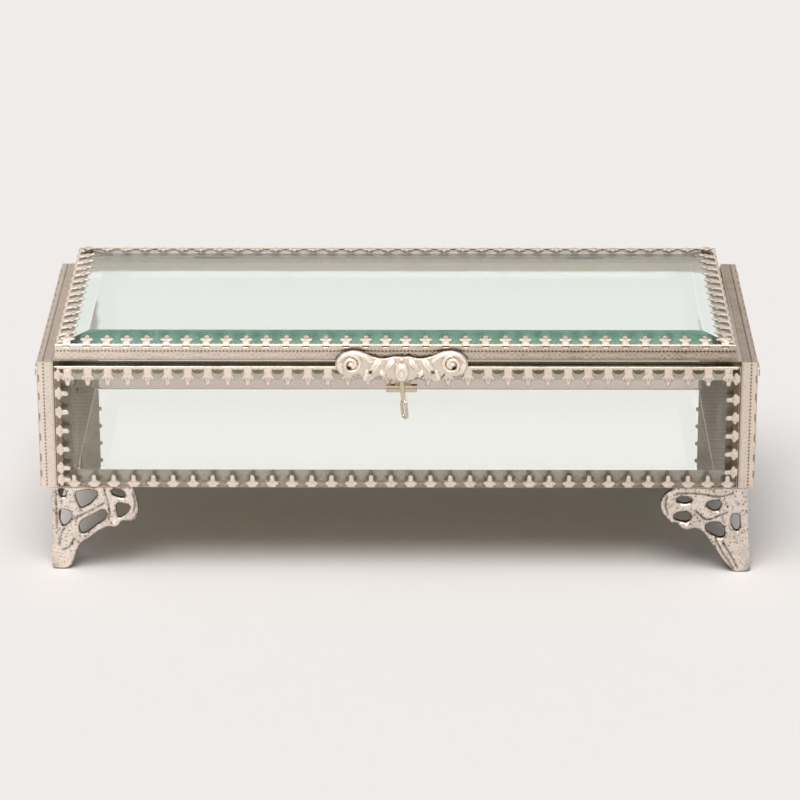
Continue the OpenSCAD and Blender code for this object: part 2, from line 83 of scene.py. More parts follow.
# Spacing of the rows of a grid of equal triangles, as a share of the spacing along a row
ROW = 0.87
# How many points are measured together, so that the tables stay small
BATCH = 150

HeightRule = Callable[[np.ndarray, np.ndarray], tuple[np.ndarray, np.ndarray]]


def linear(code: str) -> tuple[float, float, float, float]:
    """Turns an sRGB hex colour to linear light.

    Args:
        code: Colour such as "#E9D8CB".

    Returns:
        Red, green, blue and an alpha of 1.
    """
    parts = [int(code[i:i + 2], 16) / 255 for i in (1, 3, 5)]
    red, green, blue = (p / 12.92 if p <= 0.04045 else ((p + 0.055) / 1.055) ** 2.4 for p in parts)
    return red, green, blue, 1.0


def add_node(tree: bpy.types.NodeTree, kind: str, settings: dict[str | int, Any] | None = None,
             links: dict[str | int, bpy.types.NodeSocket] | None = None,
             stops: Sequence[tuple[float, tuple[float, ...]]] = ()) -> bpy.types.Node:
    """Adds a shader node with its settings and links.

    Args:
        tree: Node tree that the node goes into.
        kind: Type of the node.
        settings: Values by socket name or number, or by the node's own property.
        links: Output sockets by the input socket that they feed.
        stops: Places and colours of a colour ramp.

    Returns:
        The new node.
    """
    node = tree.nodes.new(kind)
    for name, value in (settings or {}).items():
        if isinstance(name, int) or name in node.inputs:
            node.inputs[name].default_value = value
        else:
            setattr(node, name, value)
    for name, source in (links or {}).items():
        tree.links.new(source, node.inputs[name])
    if stops:
        elements = node.color_ramp.elements
        while len(elements) < len(stops):
            elements.new(0.5)
        for element, (place, colour) in zip(elements, stops):
            element.position = place
            element.color = colour
    return node


def fresh_material(name: str) -> tuple[bpy.types.Material, bpy.types.NodeTree]:
    """Makes an empty node material.

    Args:
        name: Name of the material.

    Returns:
        The material and its cleared tree.
    """
    material = bpy.data.materials.new(name)
    material.use_nodes = True
    material.node_tree.nodes.clear()
    return material, material.node_tree


@dataclass(frozen=True)
class PlatedMetal:
    """Silver plate over a warm base metal, worn bright on the high spots.

    The plate is cooler and brighter than the base; where the relief is deep the polish never
    reached it, and brown tarnish stays. Lengths are in mm.
    """

    name: str
    colour: str
    tarnish: str
    roughness: float
    roughness_spread: float = 0.12
    # Fine grain of the skin, and how deep it is
    grain: float = 0.35
    grain_depth: float = 0.02
    # Shallow dents from stamping and handling, and dark specks that no polish reached
    dent: float = 1.3
    dent_depth: float = 0.07
    speck: float = 0.5
    speck_share: float = 0.3
    # Patches of wear, and how much tarnish they hold
    patch: float = 9.0
    patch_share: float = 0.15
    # Painted shade: how much darker the plate is painted at the right end of the box than at the left end,
    # as the light falls from the left
    right_shade: float = 0.16
    half_width: float = 127.0
    # Below 1, the patterns are drawn out along that axis
    stretch: tuple[float, float, float] = (1.0, 1.0, 1.0)

    def material(self) -> bpy.types.Material:
        """Builds the plate's colour, tarnish, gloss and grain.

        Returns:
            The material; it reads from the mesh the tarnish of the recesses and the painted shade of each
            piece.
        """
        material, tree = fresh_material(self.name)
        place = add_node(tree, "ShaderNodeTexCoord").outputs["Object"]
        drawn = add_node(tree, "ShaderNodeMapping", {"Scale": self.stretch}, {"Vector": place}).outputs[0]
        patches = add_node(tree, "ShaderNodeTexNoise", {"Scale": 1 / (self.patch * MM), "Detail": 4.0},
                           {"Vector": drawn}).outputs[0]
        grain = add_node(tree, "ShaderNodeTexNoise", {"Scale": 1 / (self.grain * MM), "Detail": 2.0},
                         {"Vector": drawn}).outputs[0]
        worn = add_node(tree, "ShaderNodeMapRange",
                        {"From Min": 0.5, "From Max": 0.85, "To Max": self.patch_share},
                        {"Value": patches}).outputs[0]
        # Tarnish of the recesses, and the painted shade that the pieces carry
        tarnish_and_shade = add_node(tree, "ShaderNodeAttribute", {"attribute_name": "tarnish_and_shade"}).outputs["Fac"]
        skin = add_node(tree, "ShaderNodeTexNoise",
                        {"Scale": 1 / (self.speck * MM), "Detail": 3.0, "Distortion": 1.2},
                        {"Vector": drawn}).outputs[0]
        specks = add_node(tree, "ShaderNodeMapRange",
                          {"From Min": 0.56, "From Max": 0.68, "To Max": self.speck_share},
                          {"Value": skin}).outputs[0]
        along = add_node(tree, "ShaderNodeSeparateXYZ", links={0: place}).outputs["X"]
        # Painted shade, growing from the left end of the box to the right end
        right = add_node(tree, "ShaderNodeMapRange",
                         {"From Min": -self.half_width * MM, "From Max": self.half_width * MM,
                          "To Max": self.right_shade}, {"Value": along}).outputs[0]
        # Tarnish, painted shade, wear and specks added together; this sum darkens the plate towards its
        # tarnish colour
        old = add_node(tree, "ShaderNodeMath", {"operation": "ADD"}, {0: tarnish_and_shade, 1: worn}).outputs[0]
        older = add_node(tree, "ShaderNodeMath", {"operation": "ADD"}, {0: old, 1: specks}).outputs[0]
        dull = add_node(tree, "ShaderNodeMath", {"operation": "ADD", "use_clamp": True},
                        {0: older, 1: right}).outputs[0]
        colour = add_node(tree, "ShaderNodeMix", {"data_type": "RGBA", 6: linear(self.colour),
                                                  7: linear(self.tarnish)}, {0: dull}).outputs[2]
        gloss = add_node(tree, "ShaderNodeMapRange",
                         {"From Min": 0.3, "From Max": 0.7,
                          "To Min": self.roughness - self.roughness_spread / 2,
                          "To Max": self.roughness + self.roughness_spread / 2},
                         {"Value": patches}).outputs[0]
        dents = add_node(tree, "ShaderNodeTexNoise", {"Scale": 1 / (self.dent * MM), "Detail": 1.0},
                         {"Vector": drawn}).outputs[0]
        dented = add_node(tree, "ShaderNodeBump", {"Strength": 0.8, "Distance": self.dent_depth * MM},
                          {"Height": dents}).outputs[0]
        bump = add_node(tree, "ShaderNodeBump", {"Strength": 0.6, "Distance": self.grain_depth * MM},
                        {"Height": grain, "Normal": dented}).outputs[0]
        shader = add_node(tree, "ShaderNodeBsdfPrincipled", {"Metallic": 1.0},
                          {"Base Color": colour, "Roughness": gloss, "Normal": bump})
        add_node(tree, "ShaderNodeOutputMaterial", links={"Surface": shader.outputs[0]})
        return material


@dataclass(frozen=True)
class FloatGlass:
    """Clear float glass: a slight green from its iron, which only a long path through it shows."""

    name: str = "float_glass_ground_bevels"
    body: str = "#89DFC7"
    # Absorption per metre, for a body colour of black
    density: float = 12.5
    ior: float = 1.52
    # Rolled glass is never quite flat: shallow waves this far apart
    wave: float = 14.0
    wave_depth: float = 0.012
    roughness: float = 0.0

    def material(self) -> bpy.types.Material:
        """Builds clear glass with its green body and faint waves.

        Returns:
            The material.
        """
        material, tree = fresh_material(self.name)
        place = add_node(tree, "ShaderNodeTexCoord").outputs["Object"]
        waves = add_node(tree, "ShaderNodeTexNoise", {"Scale": 1 / (self.wave * MM), "Detail": 1.0},
                         {"Vector": place}).outputs[0]
        bump = add_node(tree, "ShaderNodeBump", {"Strength": 0.5, "Distance": self.wave_depth * MM},
                        {"Height": waves}).outputs[0]
        shader = add_node(tree, "ShaderNodeBsdfPrincipled",
                          {"Base Color": (1.0, 1.0, 1.0, 1.0), "Roughness": self.roughness, "IOR": self.ior,
                           "Transmission Weight": 1.0}, {"Normal": bump})
        body = add_node(tree, "ShaderNodeVolumeAbsorption",
                        {"Color": linear(self.body), "Density": self.density})
        add_node(tree, "ShaderNodeOutputMaterial",
                 links={"Surface": shader.outputs[0], "Volume": body.outputs[0]})
        return material


@dataclass(frozen=True)
class SilveredMirror:
    """Mirror plate: a clean silver reflection, faintly green from the glass over it."""

    name: str = "silvered_mirror_plate"
    colour: str = "#FBF8F5"
    # Dust and wiping marks, a few centimetres across, that soften the reflection a little
    smear: float = 30.0
    clean: float = 0.01
    smeared: float = 0.05

    def material(self) -> bpy.types.Material:
        """Builds the mirror with its wiping marks.

        Returns:
            The material.
        """
        material, tree = fresh_material(self.name)
        place = add_node(tree, "ShaderNodeTexCoord").outputs["Object"]
        smears = add_node(tree, "ShaderNodeTexNoise", {"Scale": 1 / (self.smear * MM), "Detail": 5.0},
                          {"Vector": place}).outputs[0]
        gloss = add_node(tree, "ShaderNodeMapRange",
                         {"From Min": 0.45, "From Max": 0.75, "To Min": self.clean, "To Max": self.smeared},
                         {"Value": smears}).outputs[0]
        shader = add_node(tree, "ShaderNodeBsdfPrincipled",
                          {"Base Color": linear(self.colour), "Metallic": 1.0}, {"Roughness": gloss})
        add_node(tree, "ShaderNodeOutputMaterial", links={"Surface": shader.outputs[0]})
        return material


PANE_GLASS = FloatGlass()
# The lid is wiped most: a fine haze, which spreads the light that runs along inside it
LID_GLASS = FloatGlass("float_glass_wiped_lid", wave=10.0, wave_depth=0.03, roughness=0.06)
# Thin stamped brass strip, silver plated: warm, satin, brown where the dies cut deep
STRIP = PlatedMetal("silver_plated_stamped_strip", "#FAECDE", "#5C4A26", 0.34)
# Cast white metal, silver plated: softer gloss and a coarse skin from the mould
CAST = PlatedMetal("silver_plated_casting", "#FBEFE4", "#4C3C26", 0.38, grain=0.7, grain_depth=0.05,
                   dent=1.1, dent_depth=0.2, speck=0.6, speck_share=0.85, patch=6.0, patch_share=0.3)
# Rolled sheet that was drawn through rolls: dull, with streaks along its length
ROLLED = PlatedMetal("rolled_plated_sheet", "#C4BA9C", "#6E6348", 0.34, grain=0.5, grain_depth=0.01,
                     stretch=(0.05, 1.0, 1.0), patch_share=0.3)
# Bent wire and small fittings: the smoothest metal here, handled bright
WIRE = PlatedMetal("plated_wire_and_fittings", "#DDCFB8", "#5B4A28", 0.24, grain=0.6, grain_depth=0.008)
# The ornament is of the same casting, in a brighter and cleaner copy of its finish: painted light for the
# bright reflections that it catches
BRIGHTENED_CAST = PlatedMetal("silver_plated_casting_brightened", "#FFF6EA", "#6A4A28", 0.42, grain=0.7, grain_depth=0.03,
                     dent=0.9, dent_depth=0.05, speck_share=0.12, patch_share=0.1, right_shade=0.0)


@dataclass
class Solid:
    """A mesh in the making: points in mm, how dark each point is painted, from tarnish in recesses and from
    painted shade, and faces.
    """

    points: list[np.ndarray] = field(default_factory=list)
    shade: list[np.ndarray] = field(default_factory=list)
    faces: list[tuple[int, ...]] = field(default_factory=list)
    count: int = 0

    def add(self, points: np.ndarray, faces: Sequence[Sequence[int]],
            shade: np.ndarray | None = None) -> None:
        """Adds points and the faces between them.

        Args:
            points: Rows of x, y and z.
            faces: Point numbers, counted from the first of these points.
            shade: Shade of each point, or none for bare metal.
        """
        self.points.append(points)
        self.shade.append(np.zeros(len(points)) if shade is None else shade)
        self.faces.extend(tuple(int(i) + self.count for i in face) for face in faces)
        self.count += len(points)

    def mapped(self, rule: Callable[[np.ndarray], np.ndarray]) -> "Solid":
        """Returns the same solid with its points moved by a rule."""
        return Solid([rule(p) for p in self.points], list(self.shade), list(self.faces), self.count)

    def join(self, other: "Solid") -> None:
        """Adds another solid to this one.

        Args:
            other: The solid that is added.
        """
        self.faces.extend(tuple(i + self.count for i in face) for face in other.faces)
        self.points.extend(other.points)
        self.shade.extend(other.shade)
        self.count += other.count

    def build(self, name: str, crease: float = 38.0) -> bpy.types.Object:
        """Makes the mesh object in metres, welded and shaded smooth up to a crease angle.

        Args:
            name: Name of the object.
            crease: Angle in degrees above which an edge stays sharp.

        Returns:
            The object, linked to the scene.
        """
        mesh = bpy.data.meshes.new(name)
        mesh.from_pydata(np.vstack(self.points).tolist(), [], self.faces)
        mesh.attributes.new("tarnish_and_shade", "FLOAT", "POINT").data.foreach_set(
            "value", np.concatenate(self.shade).astype(np.float32))
        work = bmesh.new()
        work.from_mesh(mesh)
        bmesh.ops.remove_doubles(work, verts=work.verts, dist=WELD)
        bmesh.ops.recalc_face_normals(work, faces=work.faces)
        bmesh.ops.scale(work, vec=(MM, MM, MM), verts=work.verts)
        work.to_mesh(mesh)
        work.free()
        mesh.shade_smooth()
        mesh.set_sharp_from_angle(angle=math.radians(crease))
        piece = bpy.data.objects.new(name, mesh)
        bpy.context.scene.collection.objects.link(piece)
        return piece


class Body(Enum):
    """The bodies of the box that move on their own."""

    CASKET = "casket"
    LID = "lid"
    LATCH = "latch"


def place_piece(piece: bpy.types.Object, node: str, body: Body, material: bpy.types.Material) -> None:
    """Dresses a new piece and lets it stand for a node of the frame.

    Args:
        piece: The new piece, in place.
        node: Node that it replaces.
        body: Body that it rides on.
        material: Its finish.
    """
    piece.data.materials.clear()
    piece.data.materials.append(material)
    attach(piece, body.value)
    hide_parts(node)
    LOG.info("%s: %d faces, on %s", piece.name, len(piece.data.polygons), body.value)


def dress_node(node: str, material: bpy.types.Material, bevel: float = 0.0, shrink: float = 0.0) -> None:
    """Gives a node of the frame its finish and softens its edges.

    Args:
        node: Name of the node.
        material: Its finish.
        bevel: Width of the softened edges in mm.
        shrink: How far its faces draw back in mm, to keep them off the glass.
    """
    piece = frame["nodes"][node]
    piece.data.materials.clear()
    piece.data.materials.append(material)
    if shrink:
        draw_back = piece.modifiers.new("draw_back", "DISPLACE")
        draw_back.strength = -shrink * MM
        draw_back.mid_level = 0.0
    if bevel:
        soft = piece.modifiers.new("soft_edges", "BEVEL")
        soft.width = bevel * MM
        soft.segments = 3
        soft.limit_method = "ANGLE"
        soft.angle_limit = math.radians(30)
        soft.harden_normals = True
    LOG.info("%s: kept, with the finish %s", node, material.name)


def smooth_line(points: Sequence[tuple[float, float]], step: float, closed: bool = False) -> np.ndarray:
    """Draws a smooth curve through points.

    Args:
        points: Points that the curve passes through.
        step: Greatest spacing of the points given back.
        closed: Whether the curve ends where it starts.

    Returns:
        Points along the curve; a closed one leaves out the repeated last point.
    """
    p = np.array(points, float)
    ends = (p[-1:], p[:2]) if closed else (2 * p[:1] - p[1:2], 2 * p[-1:] - p[-2:-1])
    p = np.vstack([ends[0], p, ends[1]])
    out = []
    # Catmull-Rom: each stretch b to c is bent by the points before and after it
    for a, b, c, d in zip(p, p[1:], p[2:], p[3:]):
        n = max(1, math.ceil(np.linalg.norm(c - b) / step))
        for t in (i / n for i in range(n)):
            out.append(0.5 * (2 * b + (c - a) * t + (2 * a - 5 * b + 4 * c - d) * t ** 2
                              + (3 * b - a - 3 * c + d) * t ** 3))
    if not closed:
        out.append(p[-2])
    return np.array(out)


def split_edges(loop: np.ndarray, step: float) -> np.ndarray:
    """Puts more points on the long edges of a closed outline.

    Args:
        loop: Corners of the outline.
        step: Greatest spacing wanted.

    Returns:
        The outline with its corners and the new points.
    """
    out = []
    for a, b in zip(loop, np.roll(loop, -1, 0)):
        n = max(1, math.ceil(np.linalg.norm(b - a) / step))
        out.extend(a + (b - a) * i / n for i in range(n))
    return np.array(out)


def measure(loops: Sequence[np.ndarray], points: np.ndarray) -> tuple[np.ndarray, np.ndarray]:
    """Tests points against outlines.

    Args:
        loops: Closed outlines; the area between them counts as inside by the even-odd rule.
        points: Points to test.

    Returns:
        Whether each point is inside, and its distance to the outlines, up to REACH.
    """
    start = np.vstack(loops)
    end = np.vstack([np.roll(loop, -1, 0) for loop in loops])
    inside = np.zeros(len(points), bool)
    away = np.full(len(points), REACH)
    for part in np.array_split(np.argsort(points[:, 0]), max(1, len(points) // BATCH)):
        p = points[part]
        low, high = p[:, 0].min() - REACH, p[:, 0].max() + REACH
        near = (np.minimum(start[:, 0], end[:, 0]) <= high) & (np.maximum(start[:, 0], end[:, 0]) >= low)
        a, b = start[near][None], end[near][None]
        if not a.size:
            continue
        q = p[:, None]
        way = b - a
        share = np.clip(((q - a) * way).sum(2) / np.maximum((way ** 2).sum(2), 1e-12), 0, 1)
        away[part] = np.minimum(REACH, np.sqrt((((a + way * share[..., None]) - q) ** 2).sum(2)).min(1))
        crosses = (a[..., 0] > q[..., 0]) != (b[..., 0] > q[..., 0])
        run = np.where(np.abs(way[..., 0]) < 1e-12, 1e-12, way[..., 0])
        height = a[..., 1] + (q[..., 0] - a[..., 0]) / run * way[..., 1]
        inside[part] = (crosses & (height > q[..., 1])).sum(1) % 2 == 1
    return inside, away


def triangulate(loops: Sequence[np.ndarray], inner: np.ndarray) -> tuple[np.ndarray, np.ndarray]:
    """Fills outlines with triangles.

    Args:
        loops: Closed outlines, filled by the even-odd rule.
        inner: Points inside that the triangles use too.

    Returns:
        Points and triangles.
    """
    edges = []
    count = 0
    for loop in loops:
        edges += [(count + i, count + (i + 1) % len(loop)) for i in range(len(loop))]
        count += len(loop)
    every = np.vstack([*loops, inner])
    found = delaunay_2d_cdt([Vector(p) for p in every.tolist()], edges, [], 0, 1e-6)
    points = np.array([tuple(p) for p in found[0]])
    triangles = np.array(found[2])
    keep = measure(loops, points[triangles].mean(1))[0]
    return points, triangles[keep]


def ring_faces(count: int) -> list[tuple[int, ...]]:
    """Faces of the wall between a ring of points and the ring that follows it."""
    return [(i, (i + 1) % count, count + (i + 1) % count, count + i) for i in range(count)]


def relief(loops: Sequence[np.ndarray], step: float, top: HeightRule, base: HeightRule) -> Solid:
    """Closes a plate whose front follows a height rule and whose back is plain.

    Args:
        loops: Closed outlines in mm, filled by the even-odd rule.
        step: Spacing of the points on the front.
        top: Gives height and shade of the front from points and their distance to the rim.
        base: Gives the same for the back.

    Returns:
        The plate, with x and y in the plane and z out of it.
    """
    rims = [split_edges(loop, step) for loop in loops]
    low, high = np.vstack(rims).min(0), np.vstack(rims).max(0)
    rows = np.arange(low[1], high[1], step * ROW)
    grid = np.array([(x + (row % 2) * step / 2, y) for row, y in enumerate(rows)
                     for x in np.arange(low[0], high[0], step)])
    inside, away = measure(rims, grid)
    inner = grid[inside & (away > step * 0.5)]
    solid = Solid()
    for rule, points in ((top, inner), (base, np.empty((0, 2)))):
        flat, triangles = triangulate(rims, points)
        height, shade = rule(flat, measure(rims, flat)[1])
        solid.add(np.column_stack([flat, height]), triangles, shade)
    for rim in rims:
        edge = np.zeros(len(rim))
        upper, shade = top(rim, edge)
        lower, deep = base(rim, edge)
        both = np.vstack([np.column_stack([rim, upper]), np.column_stack([rim, lower])])
        solid.add(both, ring_faces(len(rim)), np.concatenate([shade, deep]))
    return solid


def prism(outline: Sequence[tuple[float, float]], low: float, high: float) -> Solid:
    """Raises a plain outline from one height to another.

    Args:
        outline: Corners of the outline.
        low: Height of its lower face.
        high: Height of its upper face.

    Returns:
        The closed prism.
    """
    flat = np.array(outline, float)
    n = len(flat)
    solid = Solid()
    points = np.vstack([np.column_stack([flat, np.full(n, z)]) for z in (low, high)])
    solid.add(points, [range(n), range(n, 2 * n), *ring_faces(n)])
    return solid


def round_over(depth: np.ndarray, radius: float) -> np.ndarray:
    """How far a rounded edge has dropped, from 0 inside to the radius at the rim."""
    inward = np.clip(1 - depth / radius, 0, 1)
    return radius * (1 - np.sqrt(1 - inward ** 2))


def spot(points: np.ndarray, centre: tuple[float, float], radius: float) -> np.ndarray:
    """A soft round spot, 1 at its centre and gone at about twice its radius."""
    return np.exp(-((points - np.array(centre)) ** 2).sum(1) / radius ** 2)


class Pane(Enum):
    """A pane: its node, the way along it, the way up it, and the width and rise of its bevel."""

    FRONT = ("front_glass", (1, 0, 0), (0, 0, 1), 7.6, 0.9)
    BACK = ("back_glass", (-1, 0, 0), (0, 0, 1), 7.6, 0.9)
    LEFT = ("left_glass", (0, -1, 0), (0, 0, 1), 7.6, 0.9)
    RIGHT = ("right_glass", (0, 1, 0), (0, 0, 1), 7.6, 0.9)
    LID = ("lid_glass", (1, 0, 0), (0, 1, 0), 11.0, 2.0)


class Edge(Enum):
    """Edges of a pane, by the turn in degrees that points local y inwards."""

    LOW = 0
    HIGH = 180
    LEFT = -90
    RIGHT = 90


class Notch(Enum):
    """Where a strip's fold is notched: nowhere, at the neck of each prong, or between prongs."""

    NONE = (0.0, 0.0)
    NECK = (1.3, 1.0)
    GAP = (1.45, 0.7)


@dataclass(frozen=True)
class Fold:
    """How the strip is folded over the glass, in mm from the fold.

    Where more of the strip lies on the edge of the pane, the prongs start nearer the fold.
    """

    # Width of the plain lip, half width of a prong's neck, where its lobes are widest, and how
    # far its finger reaches past them; a notched one is waved between its prongs
    lip: float
    neck: float
    shoulder: float
    finger: float
    notched: bool


# Gaps between prongs that are narrower than this, in mm, are left plain
LEAST_GAP = 1.0
WIDE_FOLD = Fold(lip=1.2, neck=1.52, shoulder=4.4, finger=2.75, notched=True)
NARROW_FOLD = Fold(lip=0.3, neck=1.32, shoulder=1.75, finger=3.35, notched=False)


@dataclass
class Strip:
    """Stamped strip on one edge of a pane: web, pronged lip outside, plain flange inside.

    Prongs are given as rows of (distance of the first from the low or left end, distance of the
    last from the other end, count). Lengths are in mm.
    """

    node: str
    pane: Pane
    edge: Edge
    fold: Fold
    prongs: tuple[tuple[float, float, int], ...]
    body: Body = Body.CASKET
    butted: bool = False
    notch: Notch = Notch.NONE
    # Painted shade all over the web, and how much more of it is painted towards one end of the strip
    painted_web_shade: float = 0.0
    shade_ramp: float = 0.0
    # Width of the thin dark sheet of painted shade on the glass along the lip, between the prongs, and how
    # dark it is
    shade_sheet: float = 0.0
    shade_sheet_dark: float = 0.75
    # Painted shade of the inner flange, which looks dark through the glass, and whether it has fingers
    flange_shade: float = 0.35
    fingers: bool = False
    finger_half: float = 0.85
    finger_length: float = 0.9
    # Rise of the domed prongs
    dome: float = 0.1
    # Whether the chain of lozenges is drawn as an uneven vine, and how dark its ground is
    vine: bool = False
    chain_shade: float = 0.34
    # Length that is left off at the upper end
    cut: float = 0.0
    # Thickness of the sheet and of the pane at its edge, width of the flange, seam at each end
    sheet: float = 0.4
    pane_edge: float = 5.0
    flange: float = 6.5
    seam: float = 0.05
    # Half widths of a prong at its lobes and at its finger
    lobe: float = 2.36
    tip: float = 0.85
    step: float = 0.32
    web_step: float = 0.22
    # Face of the lip: its height, its rounded edges, the rise to its middle, its dark edge
    lip_height: float = 0.36
    lip_round: float = 0.3
    fold_round: float = 0.34
    crown: float = 0.1
    crown_width: float = 1.1
    edge_shade: float = 0.6
    edge_dark: float = 0.24
    # Pits in a prong's lobes, and the crease above them
    pit_places: tuple[float, ...] = (-1.15, 0.0, 1.15)
    pit_radius: float = 0.24
    pit_depth: float = 0.14
    crease_at: float = 0.75
    crease_width: float = 0.2
    crease_half: float = 1.7
    # The end prongs of a long strip: how many mm of it rise, how far, and over what width
    lift_reach: float = 8.0
    lift_rise: float = 0.42
    lift_run: float = 1.4
    # Stamped pattern of the web: a line of punched dots over a chain of lozenges
    dot_line: float = 2.2
    dot_pitch: float = 1.3
    dot_radius: float = 0.26
    dot_depth: float = 0.16
    chain_line: float = 3.8
    chain_pitch: float = 3.8
    chain_swing: float = 0.95
    chain_half: float = 0.3
    chain_rise: float = 0.12
    chain_reach: float = 1.6
    bead_radius: float = 0.32
    # Lines scored along the web, their half width and their depth
    scored: tuple[float, ...] = (2.35, 5.3)
    score_half: float = 0.14
    score_depth: float = 0.06
    notch_depth: float = 0.3
    web_round: float = 0.35

    def __post_init__(self) -> None:
        """Works out the strip's place and length from the glass that it binds."""
        node, along, up, bevel, rise = self.pane.value
        low, high = (np.array(corner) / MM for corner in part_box(node))
        axes = np.array([along, up, np.cross(along, up)], float)
        spans = np.abs(axes @ (high - low)) + (2 * self.sheet, 2 * self.sheet, 0)
        # Inner face of the glass, in the middle of the pane
        origin = (low + high) / 2 - axes[2] * (spans[2] / 2)
        length, reach = (spans[0], spans[1]) if self.edge in (Edge.LOW, Edge.HIGH) else (spans[1], spans[0])
        turn = math.radians(self.edge.value)
        cos, sin = math.cos(turn), math.sin(turn)
        spin = np.array([[cos, -sin, 0], [sin, cos, 0], [0, 0, 1]])
        self.length = float(length)
        self.axes = axes.T @ spin
        self.origin = origin - self.axes[:, 1] * reach / 2
        self.tilt = math.atan(rise / bevel)
        # Local x runs towards the pane's upper or right end, or away from it
        self.way = 1 if self.edge in (Edge.LOW, Edge.RIGHT) else -1
        half = self.length / 2
        self.places = np.concatenate([self.way * np.linspace(-half + first, half - last, count)
                                      for first, last, count in self.prongs])
        ends = [-half, half]
        ends[1 if self.way > 0 else 0] -= self.way * self.cut
        self.low, self.high = ends

    def prong_line(self, x: float) -> np.ndarray:
        """Outline of one prong, from the right of its neck over the tip to the left.

        Args:
            x: Place of the prong along the strip.

        Returns:
            Points of x and the distance from the fold.
        """
        s, lobe, tip, neck = self.fold.shoulder, self.lobe, self.tip, self.fold.neck
        end = s + self.fold.finger
        # Up the neck, round the lobe, in to the foot of the finger, and up it
        right = [(neck, self.fold.lip), (neck, max(s - 1.45, self.fold.lip + 0.05)), (neck + 0.3, s - 0.95),
                 (lobe - 0.12, s - 0.5), (lobe, s), (lobe - 0.3, s + 0.45), (tip + 0.62, s + 0.8),
                 (tip + 0.08, s + 1.15), (tip, s + 1.6), (tip, end - 0.8), (tip * 0.75, end - 0.3), (0, end)]
        line = smooth_line(right + [(-x2, y) for x2, y in right[-2::-1]], self.step)
        return line + (x, 0)

    def lip_loop(self) -> np.ndarray:
        """Outline of the lip and its prongs, with mitred ends and a waved edge.

        Returns:
            Points along and across the lip, round it once.
        """
        lead = self.sheet * math.tan(self.tilt)
        start = self.sheet if self.butted else 0.0
        low, high = self.low + self.seam, self.high - self.seam
        points = [(low + max(start, lead), max(start, lead) if self.butted else lead),
                  (high - max(start, lead), max(start, lead) if self.butted else lead),
                  (high - max(self.fold.lip, start), self.fold.lip)]
        if start > self.fold.lip:
            points = [(low + start, lead), (high - start, lead)]
        wave = 0.2 if self.fold.notched else 0.05
        order = np.sort(self.places)[::-1]
        for number, x in enumerate(order):
            points.extend(self.prong_line(x).tolist())
            if number + 1 < len(order):
                a, b = x - self.fold.neck, order[number + 1] + self.fold.neck
                if a - b > LEAST_GAP:
                    points.extend((a + (b - a) * t, self.fold.lip + wave * abs(math.sin(2 * math.pi * t)))
                                  for t in (i / 8 for i in range(1, 8)))
        points.append((low + max(self.fold.lip, start), self.fold.lip))
        return np.array(points)

    def lift(self, flat: np.ndarray) -> np.ndarray:
        """How far the end prongs of a long strip rise to clear the prong of the next strip.

        Args:
            flat: Points along and across the lip.

        Returns:
            Rise of each point.
        """
        if self.butted or not self.fold.notched:
            return np.zeros(len(flat))
        reach = np.minimum(flat[:, 0] - self.low, self.high - flat[:, 0])
        near = np.clip(self.lift_reach - reach, 0, 1)
        return self.lift_rise * near * np.clip((flat[:, 1] - self.fold.lip) / self.lift_run, 0, 1)

    def lip_top(self, flat: np.ndarray, rim: np.ndarray) -> tuple[np.ndarray, np.ndarray]:
        """Height and shade of the lip's outer face.

        Args:
            flat: Points along and across the lip.
            rim: Their distance to its edge.

        Returns:
            Height over the glass and shade of each point.
        """
        # Away from the fold the edge is rounded less deeply than it is wide
        rounded = np.where(flat[:, 1] > 0.5, 0.6 * round_over(rim, self.lip_round), 0)
        height = AIR + self.lip_height - rounded
        crown = self.crown * np.clip(rim / self.crown_width, 0, 1)
        height += crown - round_over(flat[:, 1], self.fold_round)
        shade = self.edge_shade * np.clip(1 - rim / self.edge_dark, 0, 1)
        past = np.clip((flat[:, 1] - self.fold.lip) / 0.6, 0, 1)
        height += self.dome * past * (1 - np.exp(-(rim / 0.8) ** 2))
        nearest = np.abs(flat[:, 0][:, None] - self.places[None]).argmin(1)
        local = np.column_stack([flat[:, 0] - self.places[nearest], flat[:, 1]])
        for x in self.pit_places:
            pit = spot(local, (x, self.fold.shoulder + 0.05), self.pit_radius)
            height -= self.pit_depth * pit
            shade += (0.8 if self.fold.notched else 0.25) * pit
        above = local[:, 1] - self.fold.shoulder - self.crease_at
        crease = np.exp(-(above / self.crease_width) ** 2) * (np.abs(local[:, 0]) < self.crease_half)
        height -= 0.06 * crease
        shade += 0.3 * crease
        return np.maximum(height, AIR + 0.08) + self.lift(flat), np.clip(shade, 0, 1)

    def lip_base(self, flat: np.ndarray, rim: np.ndarray) -> tuple[np.ndarray, np.ndarray]:
        """Height and shade of the lip's face on the glass."""
        return AIR + self.lift(flat), np.zeros(len(flat))

    def web(self) -> Solid:
        """The stamped web on the edge of the pane, with its dots and lozenges.

        Returns:
            The closed web, along the strip, out of the pane and through its thickness.
        """
        inset = self.sheet if self.butted else 0.0
        low, high = self.low + inset, self.high - inset
        wide = self.pane_edge + 2 * self.sheet
        x = np.linspace(low, high, math.ceil((high - low) / self.web_step) + 1)
        t = np.linspace(0, wide, math.ceil(wide / self.web_step) + 1)
        xs, ts = (g.ravel() for g in np.meshgrid(x, t, indexing="ij"))
        dots = np.exp(-(((xs % self.dot_pitch) - self.dot_pitch / 2) ** 2 + (ts - self.dot_line) ** 2)
                      / self.dot_radius ** 2)
        phase = 2 * math.pi * xs / self.chain_pitch
        swing = self.chain_swing * np.sin(phase)
        if self.vine:
